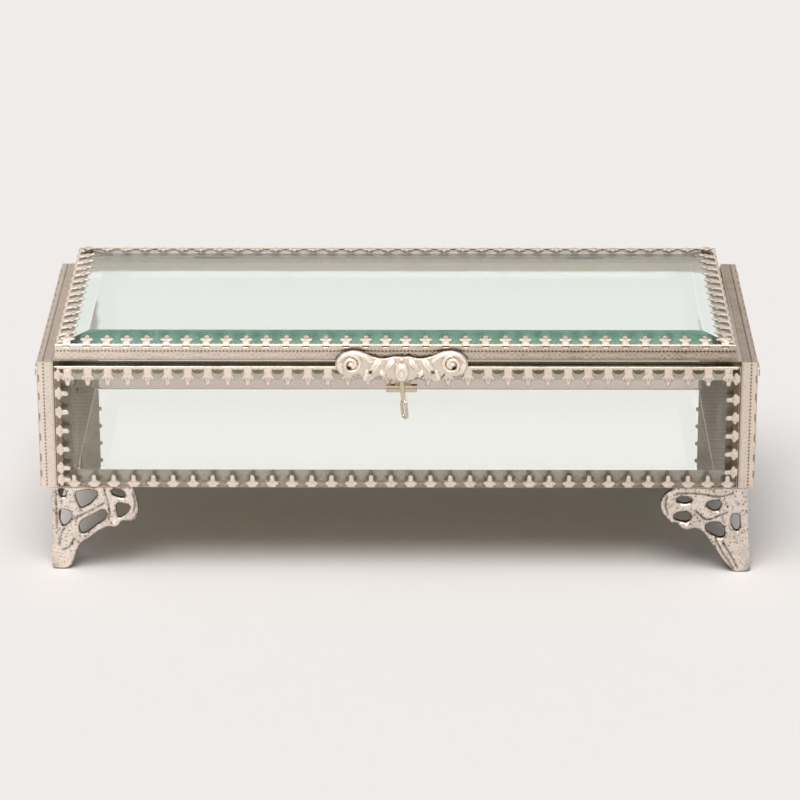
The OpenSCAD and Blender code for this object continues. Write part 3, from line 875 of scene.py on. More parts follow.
            # Waves of other lengths keep the vine's leaves from being alike
            size = 0.7 + 0.3 * np.sin(xs / 2.1)
            swing = size * self.chain_swing * np.sin(phase + 0.9 * np.sin(xs / 1.45))
        off = ts - self.chain_line
        chain = np.maximum(np.exp(-((off - swing) / self.chain_half) ** 2),
                           np.exp(-((off + swing) / self.chain_half) ** 2))
        beads = np.exp(-((((xs + self.chain_pitch / 4) % (self.chain_pitch / 2)) - self.chain_pitch / 4) ** 2
                         + off ** 2) / self.bead_radius ** 2)
        raised = np.maximum(chain, beads)
        field_of_chain = np.clip(self.chain_reach - np.abs(off), 0, 0.3) / 0.3
        lines = sum(np.exp(-((ts - line) / self.score_half) ** 2) for line in self.scored)
        out = self.chain_rise * raised * field_of_chain - self.dot_depth * dots - self.score_depth * lines
        # Painted shade over the whole web, with more of it towards one end
        painted_web_shade = self.painted_web_shade + self.shade_ramp * (xs / self.length + 0.5)
        shade = painted_web_shade + dots + self.chain_shade * field_of_chain * (1 - raised) + 0.3 * lines
        if self.notch is not Notch.NONE:
            half, deep = self.notch.value
            order = np.sort(self.places)
            centres = order if self.notch is Notch.NECK else (order[1:] + order[:-1]) / 2
            near = np.abs(xs[:, None] - centres[None]).min(1)
            notch = np.clip((half - near) / 0.25, 0, 1) * np.clip((deep - ts) / 0.2, 0, 1)
            # Each notch is a shallow dent, painted dark as the shade inside it
            out -= self.notch_depth * notch
            shade += notch
        fall = round_over(ts, self.web_round) + round_over(wide - ts, self.web_round)
        solid = Solid()
        top = np.column_stack([xs, fall - out, self.pane_edge + self.sheet - ts])
        # Front of the web as a grid, then two points behind each of its columns
        n, m = len(x), len(t)
        faces = [(i * m + j, (i + 1) * m + j, (i + 1) * m + j + 1, i * m + j + 1)
                 for i in range(n - 1) for j in range(m - 1)]
        inner = self.sheet - AIR
        back = np.array([(v, inner, z) for v in x for z in (self.pane_edge + self.sheet, -self.sheet)])
        first = n * m
        for i in range(n - 1):
            a, b = first + 2 * i, first + 2 * i + 2
            faces += [(a, b, b + 1, a + 1), (i * m, a, b, (i + 1) * m),
                      (i * m + m - 1, (i + 1) * m + m - 1, b + 1, a + 1)]
        for i in (0, n - 1):
            faces.append([*range(i * m, (i + 1) * m), first + 2 * i + 1, first + 2 * i])
        solid.add(np.vstack([top, back]), faces, np.concatenate([np.clip(shade, 0, 1), np.zeros(len(back))]))
        return solid

    def inner_flange(self) -> Solid:
        """The plain flange on the inner face of the glass, mitred at its ends.

        Returns:
            The closed flange.
        """
        start = self.sheet if self.butted else 0.0
        low, high = self.low + self.seam, self.high - self.seam
        wide = self.flange
        low_cut, high_cut = (wide, wide)
        if self.cut:
            low_cut, high_cut = (start, wide) if self.way < 0 else (wide, start)
        outline = [(low + start, AIR), (high - start, AIR), (high - start, start + AIR),
                   (high - high_cut, wide)]
        if self.fingers:
            for x in np.sort(self.places)[::-1]:
                if low + low_cut + 1 < x < high - high_cut - 1:
                    end = wide + self.finger_length
                    outline += [(x + self.finger_half, wide), (x + 0.6, end), (x - 0.6, end),
                                (x - self.finger_half, wide)]
        outline += [(low + low_cut, wide), (low + start, start + AIR)]
        made = prism(outline, -self.sheet, -AIR)
        made.shade = [np.full(len(q), self.flange_shade) for q in made.points]
        return made

    def shade_sheets(self) -> Solid:
        """Painted shade on the glass along the lip, between the prongs.

        Returns:
            One thin half oval for each gap, or nothing where the strip has no sheet of painted shade.
        """
        made = Solid()
        order = np.sort(self.places)
        near, far = self.fold.lip - 0.15, self.fold.lip + self.shade_sheet
        for a, b in zip(order + self.fold.neck, order[1:] - self.fold.neck):
            if self.shade_sheet and b - a > LEAST_GAP:
                turn = np.linspace(0, math.pi, 9)
                arc = np.column_stack([(a + b) / 2 + (b - a) / 2 * np.cos(turn),
                                       near + (far - near) * np.sin(turn) ** 0.6])
                # A thin dark sheet: painted shade
                bar = prism(arc, AIR, AIR + 0.1)
                bar.shade = [np.full(len(q), self.shade_sheet_dark) for q in bar.points]
                made.join(bar)
        return made

    def solid(self) -> Solid:
        """The whole strip in the row frame, in mm.

        Returns:
            Lip, sheets of painted shade, web and flange as one solid.
        """
        cos, sin = math.cos(self.tilt), math.sin(self.tilt)

        def fold_over(p: np.ndarray) -> np.ndarray:
            """Lays the flat lip on the bevel."""
            y = p[:, 1] - self.sheet
            return np.column_stack([p[:, 0], self.sheet + y * cos - p[:, 2] * sin,
                                    self.pane_edge + y * sin + p[:, 2] * cos])

        made = relief([self.lip_loop()], self.step, self.lip_top, self.lip_base)
        made.join(self.shade_sheets())
        made = made.mapped(fold_over)
        made.join(self.web())
        made.join(self.inner_flange())
        return made.mapped(lambda p: p @ self.axes.T + self.origin)

    def make(self, material: bpy.types.Material) -> None:
        """Builds the strip and puts it in its node's place."""
        place_piece(self.solid().build(self.node + "_strip"), self.node, self.body, material)


@dataclass
class FloorBand:
    """Flat strip that lies round the mirror, with bars stamped across it, in mm."""

    node: str
    finish: bpy.types.Material
    pitch: float = 3.8
    step: float = 0.6
    rise: float = 0.05

    def make(self) -> None:
        """Builds the band with its bars and puts it in its node's place."""
        low, high = (np.array(corner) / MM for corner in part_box(self.node))
        run = 0 if high[0] - low[0] > high[1] - low[1] else 1

        def top(flat: np.ndarray, rim: np.ndarray) -> tuple[np.ndarray, np.ndarray]:
            """The barred upper face."""
            bars = 0.5 + 0.5 * np.cos(2 * math.pi * flat[:, run] / self.pitch)
            return high[2] - self.rise * (1 - bars), 0.35 + 0.12 * (1 - bars)

        def base(flat: np.ndarray, rim: np.ndarray) -> tuple[np.ndarray, np.ndarray]:
            """The plain face on the mirror."""
            return np.full(len(flat), low[2] + AIR), np.zeros(len(flat))

        loop = np.array([(low[0], low[1]), (high[0], low[1]), (high[0], high[1]), (low[0], high[1])])
        made = relief([loop], self.step, top, base)
        place_piece(made.build(self.node + "_barred"), self.node, Body.CASKET, self.finish)


@dataclass
class Binding:
    """All the stamped strips of the box and their material."""

    finish: PlatedMetal = STRIP
    long_count: int = 34
    side_count: int = 15
    # Length that the back rail takes off the strips beside it
    rail_cut: float = 4.2

    def strips(self) -> Iterator[Strip]:
        """Lists every strip of the box.

        Returns:
            The strips one after the other: front, back, sides, lid.
        """
        # On the uprights five prongs are evenly spaced, and the corner prongs stand apart
        upright_left = ((7.4, 10.3, 5), (2.9, 43.1, 1), (42.6, 3.4, 1))
        upright_right = ((6.0, 12.4, 5), (41.4, 4.6, 1))
        wall_upright = ((7.6, 9.6, 5), (2.9, 45.1, 1), (44.4, 3.6, 1))
        bottom = ((6.1, 3.6, self.long_count),)
        # The front top band's web shows only in the gap under the lid, so it carries painted shade for the
        # lid's shadow
        yield Strip("front_top_band", Pane.FRONT, Edge.HIGH, WIDE_FOLD, ((5.0, 4.4, self.long_count),),
                    painted_web_shade=1.0, shade_sheet=1.6, flange_shade=0.25)
        yield Strip("front_bottom_band", Pane.FRONT, Edge.LOW, NARROW_FOLD, bottom, shade_sheet=0.3, flange=5.8,
                    flange_shade=0.45)
        yield Strip("front_left_band", Pane.FRONT, Edge.LEFT, NARROW_FOLD, upright_left, butted=True,
                    flange=6.0, shade_sheet=2.2, flange_shade=0.8)
        yield Strip("front_right_band", Pane.FRONT, Edge.RIGHT, NARROW_FOLD, upright_right, butted=True,
                    flange=4.7, shade_sheet=2.2, flange_shade=0.8)
        yield Strip("back_bottom_band", Pane.BACK, Edge.LOW, NARROW_FOLD, ((4.6, 4.6, self.long_count),))
        back_upright = ((7.6, 10.4, 5), (2.9, 43.1, 1))
        for node, edge in (("back_left_band", Edge.RIGHT), ("back_right_band", Edge.LEFT)):
            yield Strip(node, Pane.BACK, edge, NARROW_FOLD, back_upright, butted=True,
                        cut=self.rail_cut, flange=7.2, fingers=True, flange_shade=0.45)
        for name, pane, front in (("left", Pane.LEFT, Edge.RIGHT), ("right", Pane.RIGHT, Edge.LEFT)):
            back = Edge.LEFT if front is Edge.RIGHT else Edge.RIGHT
            # The side tops carry painted shade, more of it on the right, where less light falls
            yield Strip(f"{name}_top_band", pane, Edge.HIGH, WIDE_FOLD,
                        ((4.4, 4.4, self.side_count),), notch=Notch.GAP, chain_shade=0.1,
                        painted_web_shade=0.33 if name == "left" else 0.37)
            yield Strip(f"{name}_bottom_band", pane, Edge.LOW, NARROW_FOLD, ((4.4, 4.4, self.side_count),))
            yield Strip(f"{name}_front_band", pane, front, NARROW_FOLD, wall_upright,
                        butted=True, notch=Notch.GAP, chain_shade=0.1)
            yield Strip(f"{name}_back_band", pane, back, NARROW_FOLD, wall_upright, butted=True)
        for name, edge, flange in (("front", Edge.LOW, 6.5), ("back", Edge.HIGH, 8.5)):
            # The lid's long bands carry painted shade that grows towards one end
            yield Strip(f"lid_{name}_band", Pane.LID, edge, WIDE_FOLD, ((4.0, 3.7, self.long_count),),
                        Body.LID, notch=Notch.NECK, shade_sheet=0.2, vine=True, flange=flange,
                        flange_shade=0.6, shade_ramp=0.3, chain_shade=0.22, dome=0.1 if name == "front" else 0.5)
        for name, edge in (("left", Edge.LEFT), ("right", Edge.RIGHT)):
            yield Strip(f"lid_{name}_band", Pane.LID, edge, WIDE_FOLD, ((3.6, 3.6, self.side_count),),
                        Body.LID, butted=True, notch=Notch.NECK, shade_sheet=0.2)

    def make(self) -> None:
        """Builds all strips in one finish."""
        material = self.finish.material()
        for strip in self.strips():
            strip.make(material)
        for side in ("front", "back", "left", "right"):
            FloorBand(f"floor_{side}_band", material).make()


@dataclass
class Foot:
    """Cast openwork foot round one corner of the body.

    The casting is drawn flat, as shares of its width from the corner and of its height, and then
    bent round the corner. Lengths are in mm.
    """

    node: str
    # How far the tip is bent outwards along x and along y
    flare_x: float
    flare_y: float
    finish: bpy.types.Material
    # How far the corner stands outside its node's, and how much wider its faces are
    out: float = 0.0
    wider: float = 0.0
    thickness: float = 1.6
    radius: float = 2.0
    step: float = 0.5
    # How wide the rounded edge of each rib is, and how far its middle stands out
    rim: float = 0.75
    rise: float = 0.45
    vein_half: float = 0.36
    vein_depth: float = 0.3
    vein_shade: float = 0.85
    ball_rise: float = 0.9
    # Pits of the mould's skin: how many, their least and greatest radius, depth and tarnish
    pits: int = 150
    pit_radius: tuple[float, float] = (0.18, 0.36)
    pit_depth: float = 0.25
    pit_shade: float = 0.9
    seed: int = 11
    # The tip's end, as a share of the height, is darker in its middle
    end_share: float = 0.22
    end_half: float = 2.2
    # The leg curves outwards by this power of the way down
    flare_power: float = 1.3
    # Three-cornered ledge under the box: its sides and its thickness
    ledge: float = 9.0
    ledge_thickness: float = 1.2

    # Outline and windows of the left feet, as shares of their width and height
    OUTLINE = ((0.1, 0.0), (0.18, 0.012), (0.23, 0.065), (0.255, 0.135), (0.275, 0.2), (0.31, 0.28),
               (0.34, 0.32), (0.44, 0.385), (0.53, 0.455), (0.63, 0.505), (0.68, 0.505), (0.74, 0.512),
               (0.78, 0.54), (0.795, 0.572), (0.83, 0.582), (0.88, 0.575), (0.94, 0.585), (0.975, 0.62),
               (0.99, 0.69), (0.995, 0.76), (0.98, 0.85), (0.955, 0.93), (0.93, 1.0))
    WINDOWS = (
        ((0.085, 0.968), (0.152, 0.944), (0.156, 0.884), (0.141, 0.869), (0.093, 0.876), (0.081, 0.932)),
        ((0.274, 0.92), (0.363, 0.948), (0.452, 0.956), (0.507, 0.94), (0.522, 0.892), (0.489, 0.845),
         (0.437, 0.789), (0.378, 0.749), (0.333, 0.733), (0.304, 0.773), (0.281, 0.837)),
        ((0.681, 0.945), (0.733, 0.962), (0.793, 0.955), (0.83, 0.93), (0.84, 0.88), (0.807, 0.86),
         (0.748, 0.873), (0.696, 0.904)),
        ((0.748, 0.785), (0.8, 0.793), (0.867, 0.777), (0.896, 0.749), (0.874, 0.693), (0.822, 0.645),
         (0.77, 0.622), (0.748, 0.653), (0.741, 0.733)),
        ((0.57, 0.713), (0.615, 0.693), (0.619, 0.622), (0.585, 0.582), (0.511, 0.534), (0.437, 0.474),
         (0.363, 0.426), (0.322, 0.45), (0.311, 0.534), (0.363, 0.598), (0.437, 0.637), (0.504, 0.677)),
        ((0.096, 0.717), (0.163, 0.709), (0.215, 0.685), (0.222, 0.629), (0.2, 0.574), (0.141, 0.518),
         (0.104, 0.55), (0.085, 0.622)),
    )
    # The right feet's windows are smaller and sit lower: the mould had more flash in it
    RIGHT_WINDOWS = (
        ((0.637, 0.845), (0.68, 0.875), (0.74, 0.883), (0.8, 0.87), (0.824, 0.84), (0.79, 0.81),
         (0.72, 0.8), (0.66, 0.815)),
        ((0.66, 0.66), (0.7, 0.7), (0.78, 0.7), (0.85, 0.67), (0.86, 0.63), (0.8, 0.595), (0.72, 0.585),
         (0.67, 0.61)),
        ((0.297, 0.8), (0.34, 0.835), (0.42, 0.83), (0.472, 0.8), (0.45, 0.755), (0.39, 0.715),
         (0.33, 0.73)),
        ((0.1, 0.66), (0.15, 0.677), (0.185, 0.64), (0.19, 0.57), (0.16, 0.5), (0.12, 0.483), (0.09, 0.54)),
        ((0.3, 0.55), (0.36, 0.58), (0.44, 0.575), (0.49, 0.54), (0.48, 0.48), (0.41, 0.43), (0.33, 0.4),
         (0.28, 0.42), (0.275, 0.49)),
    )
    RIGHT_OUTLINE = ((0.1, 0.0), (0.181, 0.0), (0.247, 0.06), (0.33, 0.164), (0.42, 0.308), (0.52, 0.455),
                     (0.61, 0.505), (0.68, 0.49), (0.74, 0.49), (0.79, 0.52), (0.847, 0.575), (0.886, 0.568),
                     (0.957, 0.64), (1.0, 0.7), (1.016, 0.77), (1.0, 0.85), (0.945, 0.92), (0.87, 0.965),
                     (0.86, 1.0))
    # Gap under the right feet's top flange, a shallow groove painted black as its shade, and lines along
    # their leg
    RIGHT_VEINS = (
        ((0.82, 0.925), (0.66, 0.93), (0.5, 0.915), (0.36, 0.89), (0.27, 0.895), (0.16, 0.93)),
        ((0.3, 0.36), (0.22, 0.2), (0.15, 0.06)), ((0.38, 0.37), (0.3, 0.22), (0.2, 0.05)),
        ((0.24, 0.7), (0.34, 0.66), (0.48, 0.62), (0.6, 0.72)), ((0.93, 0.88), (0.955, 0.8), (0.93, 0.68)),
    )
    # Chased lines, as shares: along the leg, and the veins of the leaves
    VEINS = (
        ((0.14, 0.5), (0.1, 0.42), (0.08, 0.3)), ((0.25, 0.37), (0.2, 0.28), (0.13, 0.24)),
        ((0.24, 0.6), (0.34, 0.66), (0.48, 0.73), (0.6, 0.8)),
        ((0.6, 0.97), (0.63, 0.86), (0.66, 0.72), (0.65, 0.6)),
        ((0.93, 0.93), (0.955, 0.8), (0.94, 0.7)), ((0.04, 0.95), (0.045, 0.75), (0.05, 0.5)),
    )
    # Small ball at the foot of each leaf
    BALL = (0.715, 0.545)

    def __post_init__(self) -> None:
        """Reads the foot's corner and size from its node."""
        low, high = (np.array(corner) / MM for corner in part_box(self.node))
        self.width = float(high[0] - low[0]) + self.wider
        self.height = float(high[2] - low[2])
        self.sign = np.array([1 if low[0] < 0 else -1, 1 if low[1] < 0 else -1], float)
        self.corner = np.array([low[0] if low[0] < 0 else high[0], low[1] if low[1] < 0 else high[1]])
        self.corner[0] -= self.sign[0] * self.out
        left = self.sign[0] > 0
        self.outline = self.OUTLINE if left else self.RIGHT_OUTLINE
        self.windows = self.WINDOWS if left else self.RIGHT_WINDOWS
        self.veins = self.VEINS if left else self.RIGHT_VEINS
        self.arc = math.pi * self.radius / 4

    def flat(self, share: tuple[float, float], side: int) -> tuple[float, float]:
        """Places a point given as shares on the drawn-flat casting.

        Args:
            share: Share of the width from the corner, and of the height.
            side: 1 for the right half of the casting, -1 for the left.

        Returns:
            The point, in mm.
        """
        x = share[0] * self.width
        along = x - self.radius + self.arc if x > self.radius else x * self.arc / self.radius
        return side * along, share[1] * self.height

    def loops(self) -> list[np.ndarray]:
        """Outline and windows of the casting, drawn flat with the corner at x = 0.

        Returns:
            The outline, then the windows of each half.
        """
        half = [self.flat(p, 1) for p in self.outline]
        edge = smooth_line([(-x, y) for x, y in half[::-1]] + half, self.step)
        made = [edge]
        for side in (-1, 1):
            made += [smooth_line([self.flat(p, side) for p in hole], self.step, closed=True)
                     for hole in self.windows]
        return made

    def front(self, flat: np.ndarray, rim: np.ndarray) -> tuple[np.ndarray, np.ndarray]:
        """Height and shade of the cast face.

        Args:
            flat: Points of the casting, drawn flat.
            rim: Their distance to the nearest edge.

        Returns:
            Height over the plain plate, and shade.
        """
        height = self.rise * (1 - np.exp(-rim / self.rim)) - 0.7 * round_over(rim, 0.5)
        shade = 0.6 * np.exp(-rim / 0.35)
        for side in (-1, 1):
            for vein in self.veins:
                line = smooth_line([self.flat(p, side) for p in vein], 0.5)
                away = np.sqrt(((flat[:, None] - line[None]) ** 2).sum(2)).min(1)
                groove = np.exp(-(away / self.vein_half) ** 2)
                height -= self.vein_depth * groove
                shade += self.vein_shade * groove
            height += self.ball_rise * spot(flat, self.flat(self.BALL, side), 1.0)
        rolls = random.Random(self.seed)
        for _ in range(self.pits):
            # The lowest quarter of the leg is smooth
            centre = (rolls.uniform(-1, 1) * self.width, (0.25 + 0.75 * rolls.random()) * self.height)
            pit = spot(flat, centre, rolls.uniform(*self.pit_radius))
            height -= self.pit_depth * pit
            shade += self.pit_shade * pit
        foot_end = np.clip(self.end_share - flat[:, 1] / self.height, 0, 0.2) / 0.2
        shade += 0.35 * foot_end * np.exp(-(flat[:, 0] / self.end_half) ** 2)
        return height, np.clip(shade, 0, 1)

    def bend(self, p: np.ndarray) -> np.ndarray:
        """Bends the flat casting round its corner and sets it in the row frame.

        Args:
            p: Points along the casting, up it, and out of it.

        Returns:
            Points in the row frame, in mm.
        """
        along, up, out = p.T
        # The round of the corner runs a quarter turn about its middle at 225 degrees
        turn = np.radians(225) + np.clip(along, -self.arc, self.arc) / self.radius
        past = np.abs(along) - self.arc
        x = self.radius + (self.radius + out) * np.cos(turn)
        y = self.radius + (self.radius + out) * np.sin(turn)
        x = np.where(along > self.arc, self.radius + past, x)
        y = np.where(along < -self.arc, self.radius + past, y)
        down = np.clip(1 - up / self.height, 0, 1) ** self.flare_power
        x = x - self.flare_x * down
        y = y - self.flare_y * down
        return np.column_stack([self.corner[0] + self.sign[0] * x, self.corner[1] + self.sign[1] * y,
                                np.maximum(up, 0)])

    def make(self) -> None:
        """Builds the foot with its ledge and puts it in its node's place."""

        def back(flat: np.ndarray, rim: np.ndarray) -> tuple[np.ndarray, np.ndarray]:
            """The plain inner face, darkened almost fully; the walls of the windows darken towards it."""
            return np.full(len(flat), -self.thickness), np.full(len(flat), 0.95)

        made = relief(self.loops(), self.step, self.front, back).mapped(self.bend)
        inner = self.thickness * 0.6
        outline = [(inner, inner), (self.ledge, inner), (inner, self.ledge)]
        corners = [tuple(self.corner + self.sign * place) for place in outline]
        made.join(prism(corners, self.height - self.ledge_thickness, self.height - AIR))
        piece = made.build(self.node + "_casting", crease=50)
        place_piece(piece, self.node, Body.CASKET, self.finish)


@dataclass
class Ornament:
    """Cast ornament on the lid: two scrolls, leaves and the hollow boss of the latch.

    It is drawn flat round its node's middle, x to the right and y up, in mm.
    """

    finish: bpy.types.Material
    node: str = "lid_ornament"
    step: float = 0.27
    crease: float = 45.0
    # Depth from back to front, and thickness of the plate that the relief stands on
    depth: float = 4.5
    plate: float = 1.0
    # Scroll round each eye: its radius, turns, the turns at which it would close, points along it
    eye: tuple[float, float] = (17.7, 3.5)
    eye_rise: float = 1.9
    scroll: float = 4.1
    scroll_turns: float = 1.9
    scroll_close: float = 2.15
    scroll_points: int = 90
    # Half width and rise of the scroll's ridge and of the brow's
    scroll_ridge: tuple[float, float] = (0.72, 1.5)
    brow_ridge: tuple[float, float] = (0.85, 1.25)
    # Bead over the boss: its height in the drawing, the square of its radius, its rise
    bead: tuple[float, float, float] = (5.4, 0.9, 1.5)
    boss: tuple[float, float] = (0.0, 0.78)
    boss_half: tuple[float, float] = (2.5, 3.5)
    # Dished middle of the boss, as a share of its radius, and its depth
    dish: float = 0.42
    dish_depth: float = 0.34
    # Centre of the ornament over its node's lowest point
    middle: float = 3.14
    # Room for the wire: half its width, its roof and floor, and its depth from the back
    room_half: float = 1.15
    room_top: float = 0.15
    room_low: float = -8.0
    room_depth: float = 3.95

    # Right half, from the top round to the mouth of the boss, whose last two corners are sharp
    OUTLINE = ((3.0, 5.9), (6.5, 5.2), (10.3, 6.0), (12.8, 7.2), (15.0, 8.0), (18.2, 8.1), (21.3, 6.9),
               (23.0, 4.6), (23.2, 2.2), (21.8, 0.0), (19.4, -1.1), (17.0, -0.9), (15.0, -0.3),
               (14.0, -1.6), (13.0, -2.9), (11.6, -3.1), (9.4, -1.6), (7.8, -0.8), (5.8, -1.4),
               (4.4, -1.9), (3.0, -2.6), (1.15, -2.75), (1.15, -1.74))
    # Leaves: centre, half length, half width, turn in degrees, height
    LEAVES = ((9.7, 2.0, 3.9, 1.5, -52, 1.5), (4.3, 3.2, 2.5, 1.25, -48, 1.7),
              (6.6, -0.4, 1.6, 0.9, 50, 1.0), (12.6, -0.9, 2.4, 1.0, -68, 1.1),
              (21.6, 2.0, 2.4, 1.1, 70, 0.9))
    # Holes under the eye and beside the boss: shallow dents, painted dark as the shade inside them
    HOLES = (((18.3, 2.2), 0.75), ((11.0, 0.5), 0.8))
    BROW = ((11.2, 4.6), (13.0, 6.1), (15.4, 7.2), (18.0, 7.4), (20.6, 6.4), (22.2, 4.5))

    def __post_init__(self) -> None:
        """Reads the ornament's place from its node."""
        low, high = (np.array(corner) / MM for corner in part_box(self.node))
        self.centre = float(low[0] + high[0]) / 2
        self.back = float(low[1]) + self.depth
        self.up = float(low[2]) + self.middle

    def ridge(self, flat: np.ndarray, line: np.ndarray, half: float, rise: float) -> np.ndarray:
        """Height of a rounded ridge along a line.

        Args:
            flat: Points on the ornament.
            line: Points along the ridge.
            half: Its half width.
            rise: Its rise in the middle.

        Returns:
            Height of each point, 0 beside the ridge.
        """
        parts = np.array_split(flat, max(1, len(flat) // BATCH))
        away = np.concatenate([np.sqrt(((part[:, None] - line[None]) ** 2).sum(2)).min(1) for part in parts])
        return rise * np.sqrt(np.clip(1 - (away / half) ** 2, 0, 1))

    def face(self, flat: np.ndarray, rim: np.ndarray) -> tuple[np.ndarray, np.ndarray]:
        """Height and shade of the cast face.

        Args:
            flat: Points on the ornament.
            rim: Their distance to its outline.

        Returns:
            Height over the back of the plate, and shade.
        """
        p = np.column_stack([np.abs(flat[:, 0]), flat[:, 1]])
        turns = np.linspace(0, self.scroll_turns, self.scroll_points)
        angle = math.pi / 2 + 2 * math.pi * turns
        reach = (self.scroll - 0.7) * (1 - turns / self.scroll_close)
        spiral = np.array(self.eye) + np.column_stack([np.cos(angle) * reach, np.sin(angle) * reach])
        raised = self.ridge(p, spiral, *self.scroll_ridge)
        raised = np.maximum(raised, self.ridge(p, smooth_line(self.BROW, 0.3), *self.brow_ridge))
        eye = self.eye_rise * np.sqrt(np.clip(1 - ((p - self.eye) ** 2).sum(1), 0, 1))
        raised = np.maximum(raised, eye)
        for x, y, long, wide, turn, rise in self.LEAVES:
            c, s = math.cos(math.radians(turn)), math.sin(math.radians(turn))
            u = ((p[:, 0] - x) * c + (p[:, 1] - y) * s) / long
            v = (-(p[:, 0] - x) * s + (p[:, 1] - y) * c) / wide
            crease = 0.3 * np.exp(-(v / 0.16) ** 2) * (np.abs(u) < 0.8)
            raised = np.maximum(raised, rise * np.sqrt(np.clip(1 - u ** 2 - v ** 2, 0, 1)) - crease * rise)
        up, square, rise = self.bead
        raised = np.maximum(raised, rise * np.sqrt(np.clip(1 - ((p - (0, up)) ** 2).sum(1) / square, 0, 1)))
        ring = np.sqrt((((p - self.boss) / self.boss_half) ** 2).sum(1))
        # The powers give the boss a flat face with a round edge, and its dish a flat floor
        dome = (self.depth - self.plate) * np.clip(1 - ring ** 5, 0, 1) ** 0.35
        cup = self.dish_depth * np.exp(-(ring / self.dish) ** 4)
        raised = np.maximum(raised, dome - cup * (ring < 1))
        height = self.plate + raised - 0.6 * round_over(rim, 0.35) * (raised < 2)
        shade = 0.2 * np.clip(1 - raised / 0.5, 0, 1) + 0.5 * np.exp(-((ring - self.dish) / 0.06) ** 2)
        # Each hole is a dent painted dark as its shade
        for place, radius in self.HOLES:
            hole = spot(p, place, radius)
            height -= 0.8 * hole
            shade += 0.95 * hole
        return np.maximum(height, 0.15), np.clip(shade, 0, 1)

    def cutter(self) -> bpy.types.Object:
        """Makes a block in the shape of the room that the wire swings in.

        Returns:
            The block, in place.
        """
        half, low, top = self.room_half, self.room_low, self.room_top
        block = prism([(-half, low), (half, low), (half, top), (-half, top)], -1.0, self.room_depth)
        return block.mapped(self.stand).build("room_for_wire")

    def stand(self, p: np.ndarray) -> np.ndarray:
        """Stands the flat drawing up on the front of the lid."""
        return np.column_stack([self.centre + p[:, 0], self.back - p[:, 2], self.up + p[:, 1]])

    def make(self) -> None:
        """Builds the ornament, hollows its boss and puts it in its node's place."""
        half = smooth_line(self.OUTLINE[:-2], self.step)
        side = np.vstack([half, np.array(self.OUTLINE[-2:])])
        loop = np.vstack([side, (side * (-1, 1))[::-1]])

        def back(flat: np.ndarray, rim: np.ndarray) -> tuple[np.ndarray, np.ndarray]:
            """The plain back of the plate."""
            return np.zeros(len(flat)), np.full(len(flat), 0.5)

        made = relief([loop], self.step, self.face, back).mapped(self.stand)
        piece = made.build(self.node + "_casting", self.crease)
        cutter = self.cutter()
        cut = piece.modifiers.new("room", "BOOLEAN")
        cut.operation = "DIFFERENCE"
        cut.object = cutter
        cut.solver = "EXACT"
        hollow = bpy.data.meshes.new_from_object(piece.evaluated_get(bpy.context.evaluated_depsgraph_get()))
        piece.modifiers.clear()
        piece.data = hollow
        bpy.data.objects.remove(cutter)
        hollow.set_sharp_from_angle(angle=math.radians(self.crease))
        place_piece(piece, self.node, Body.LID, self.finish)


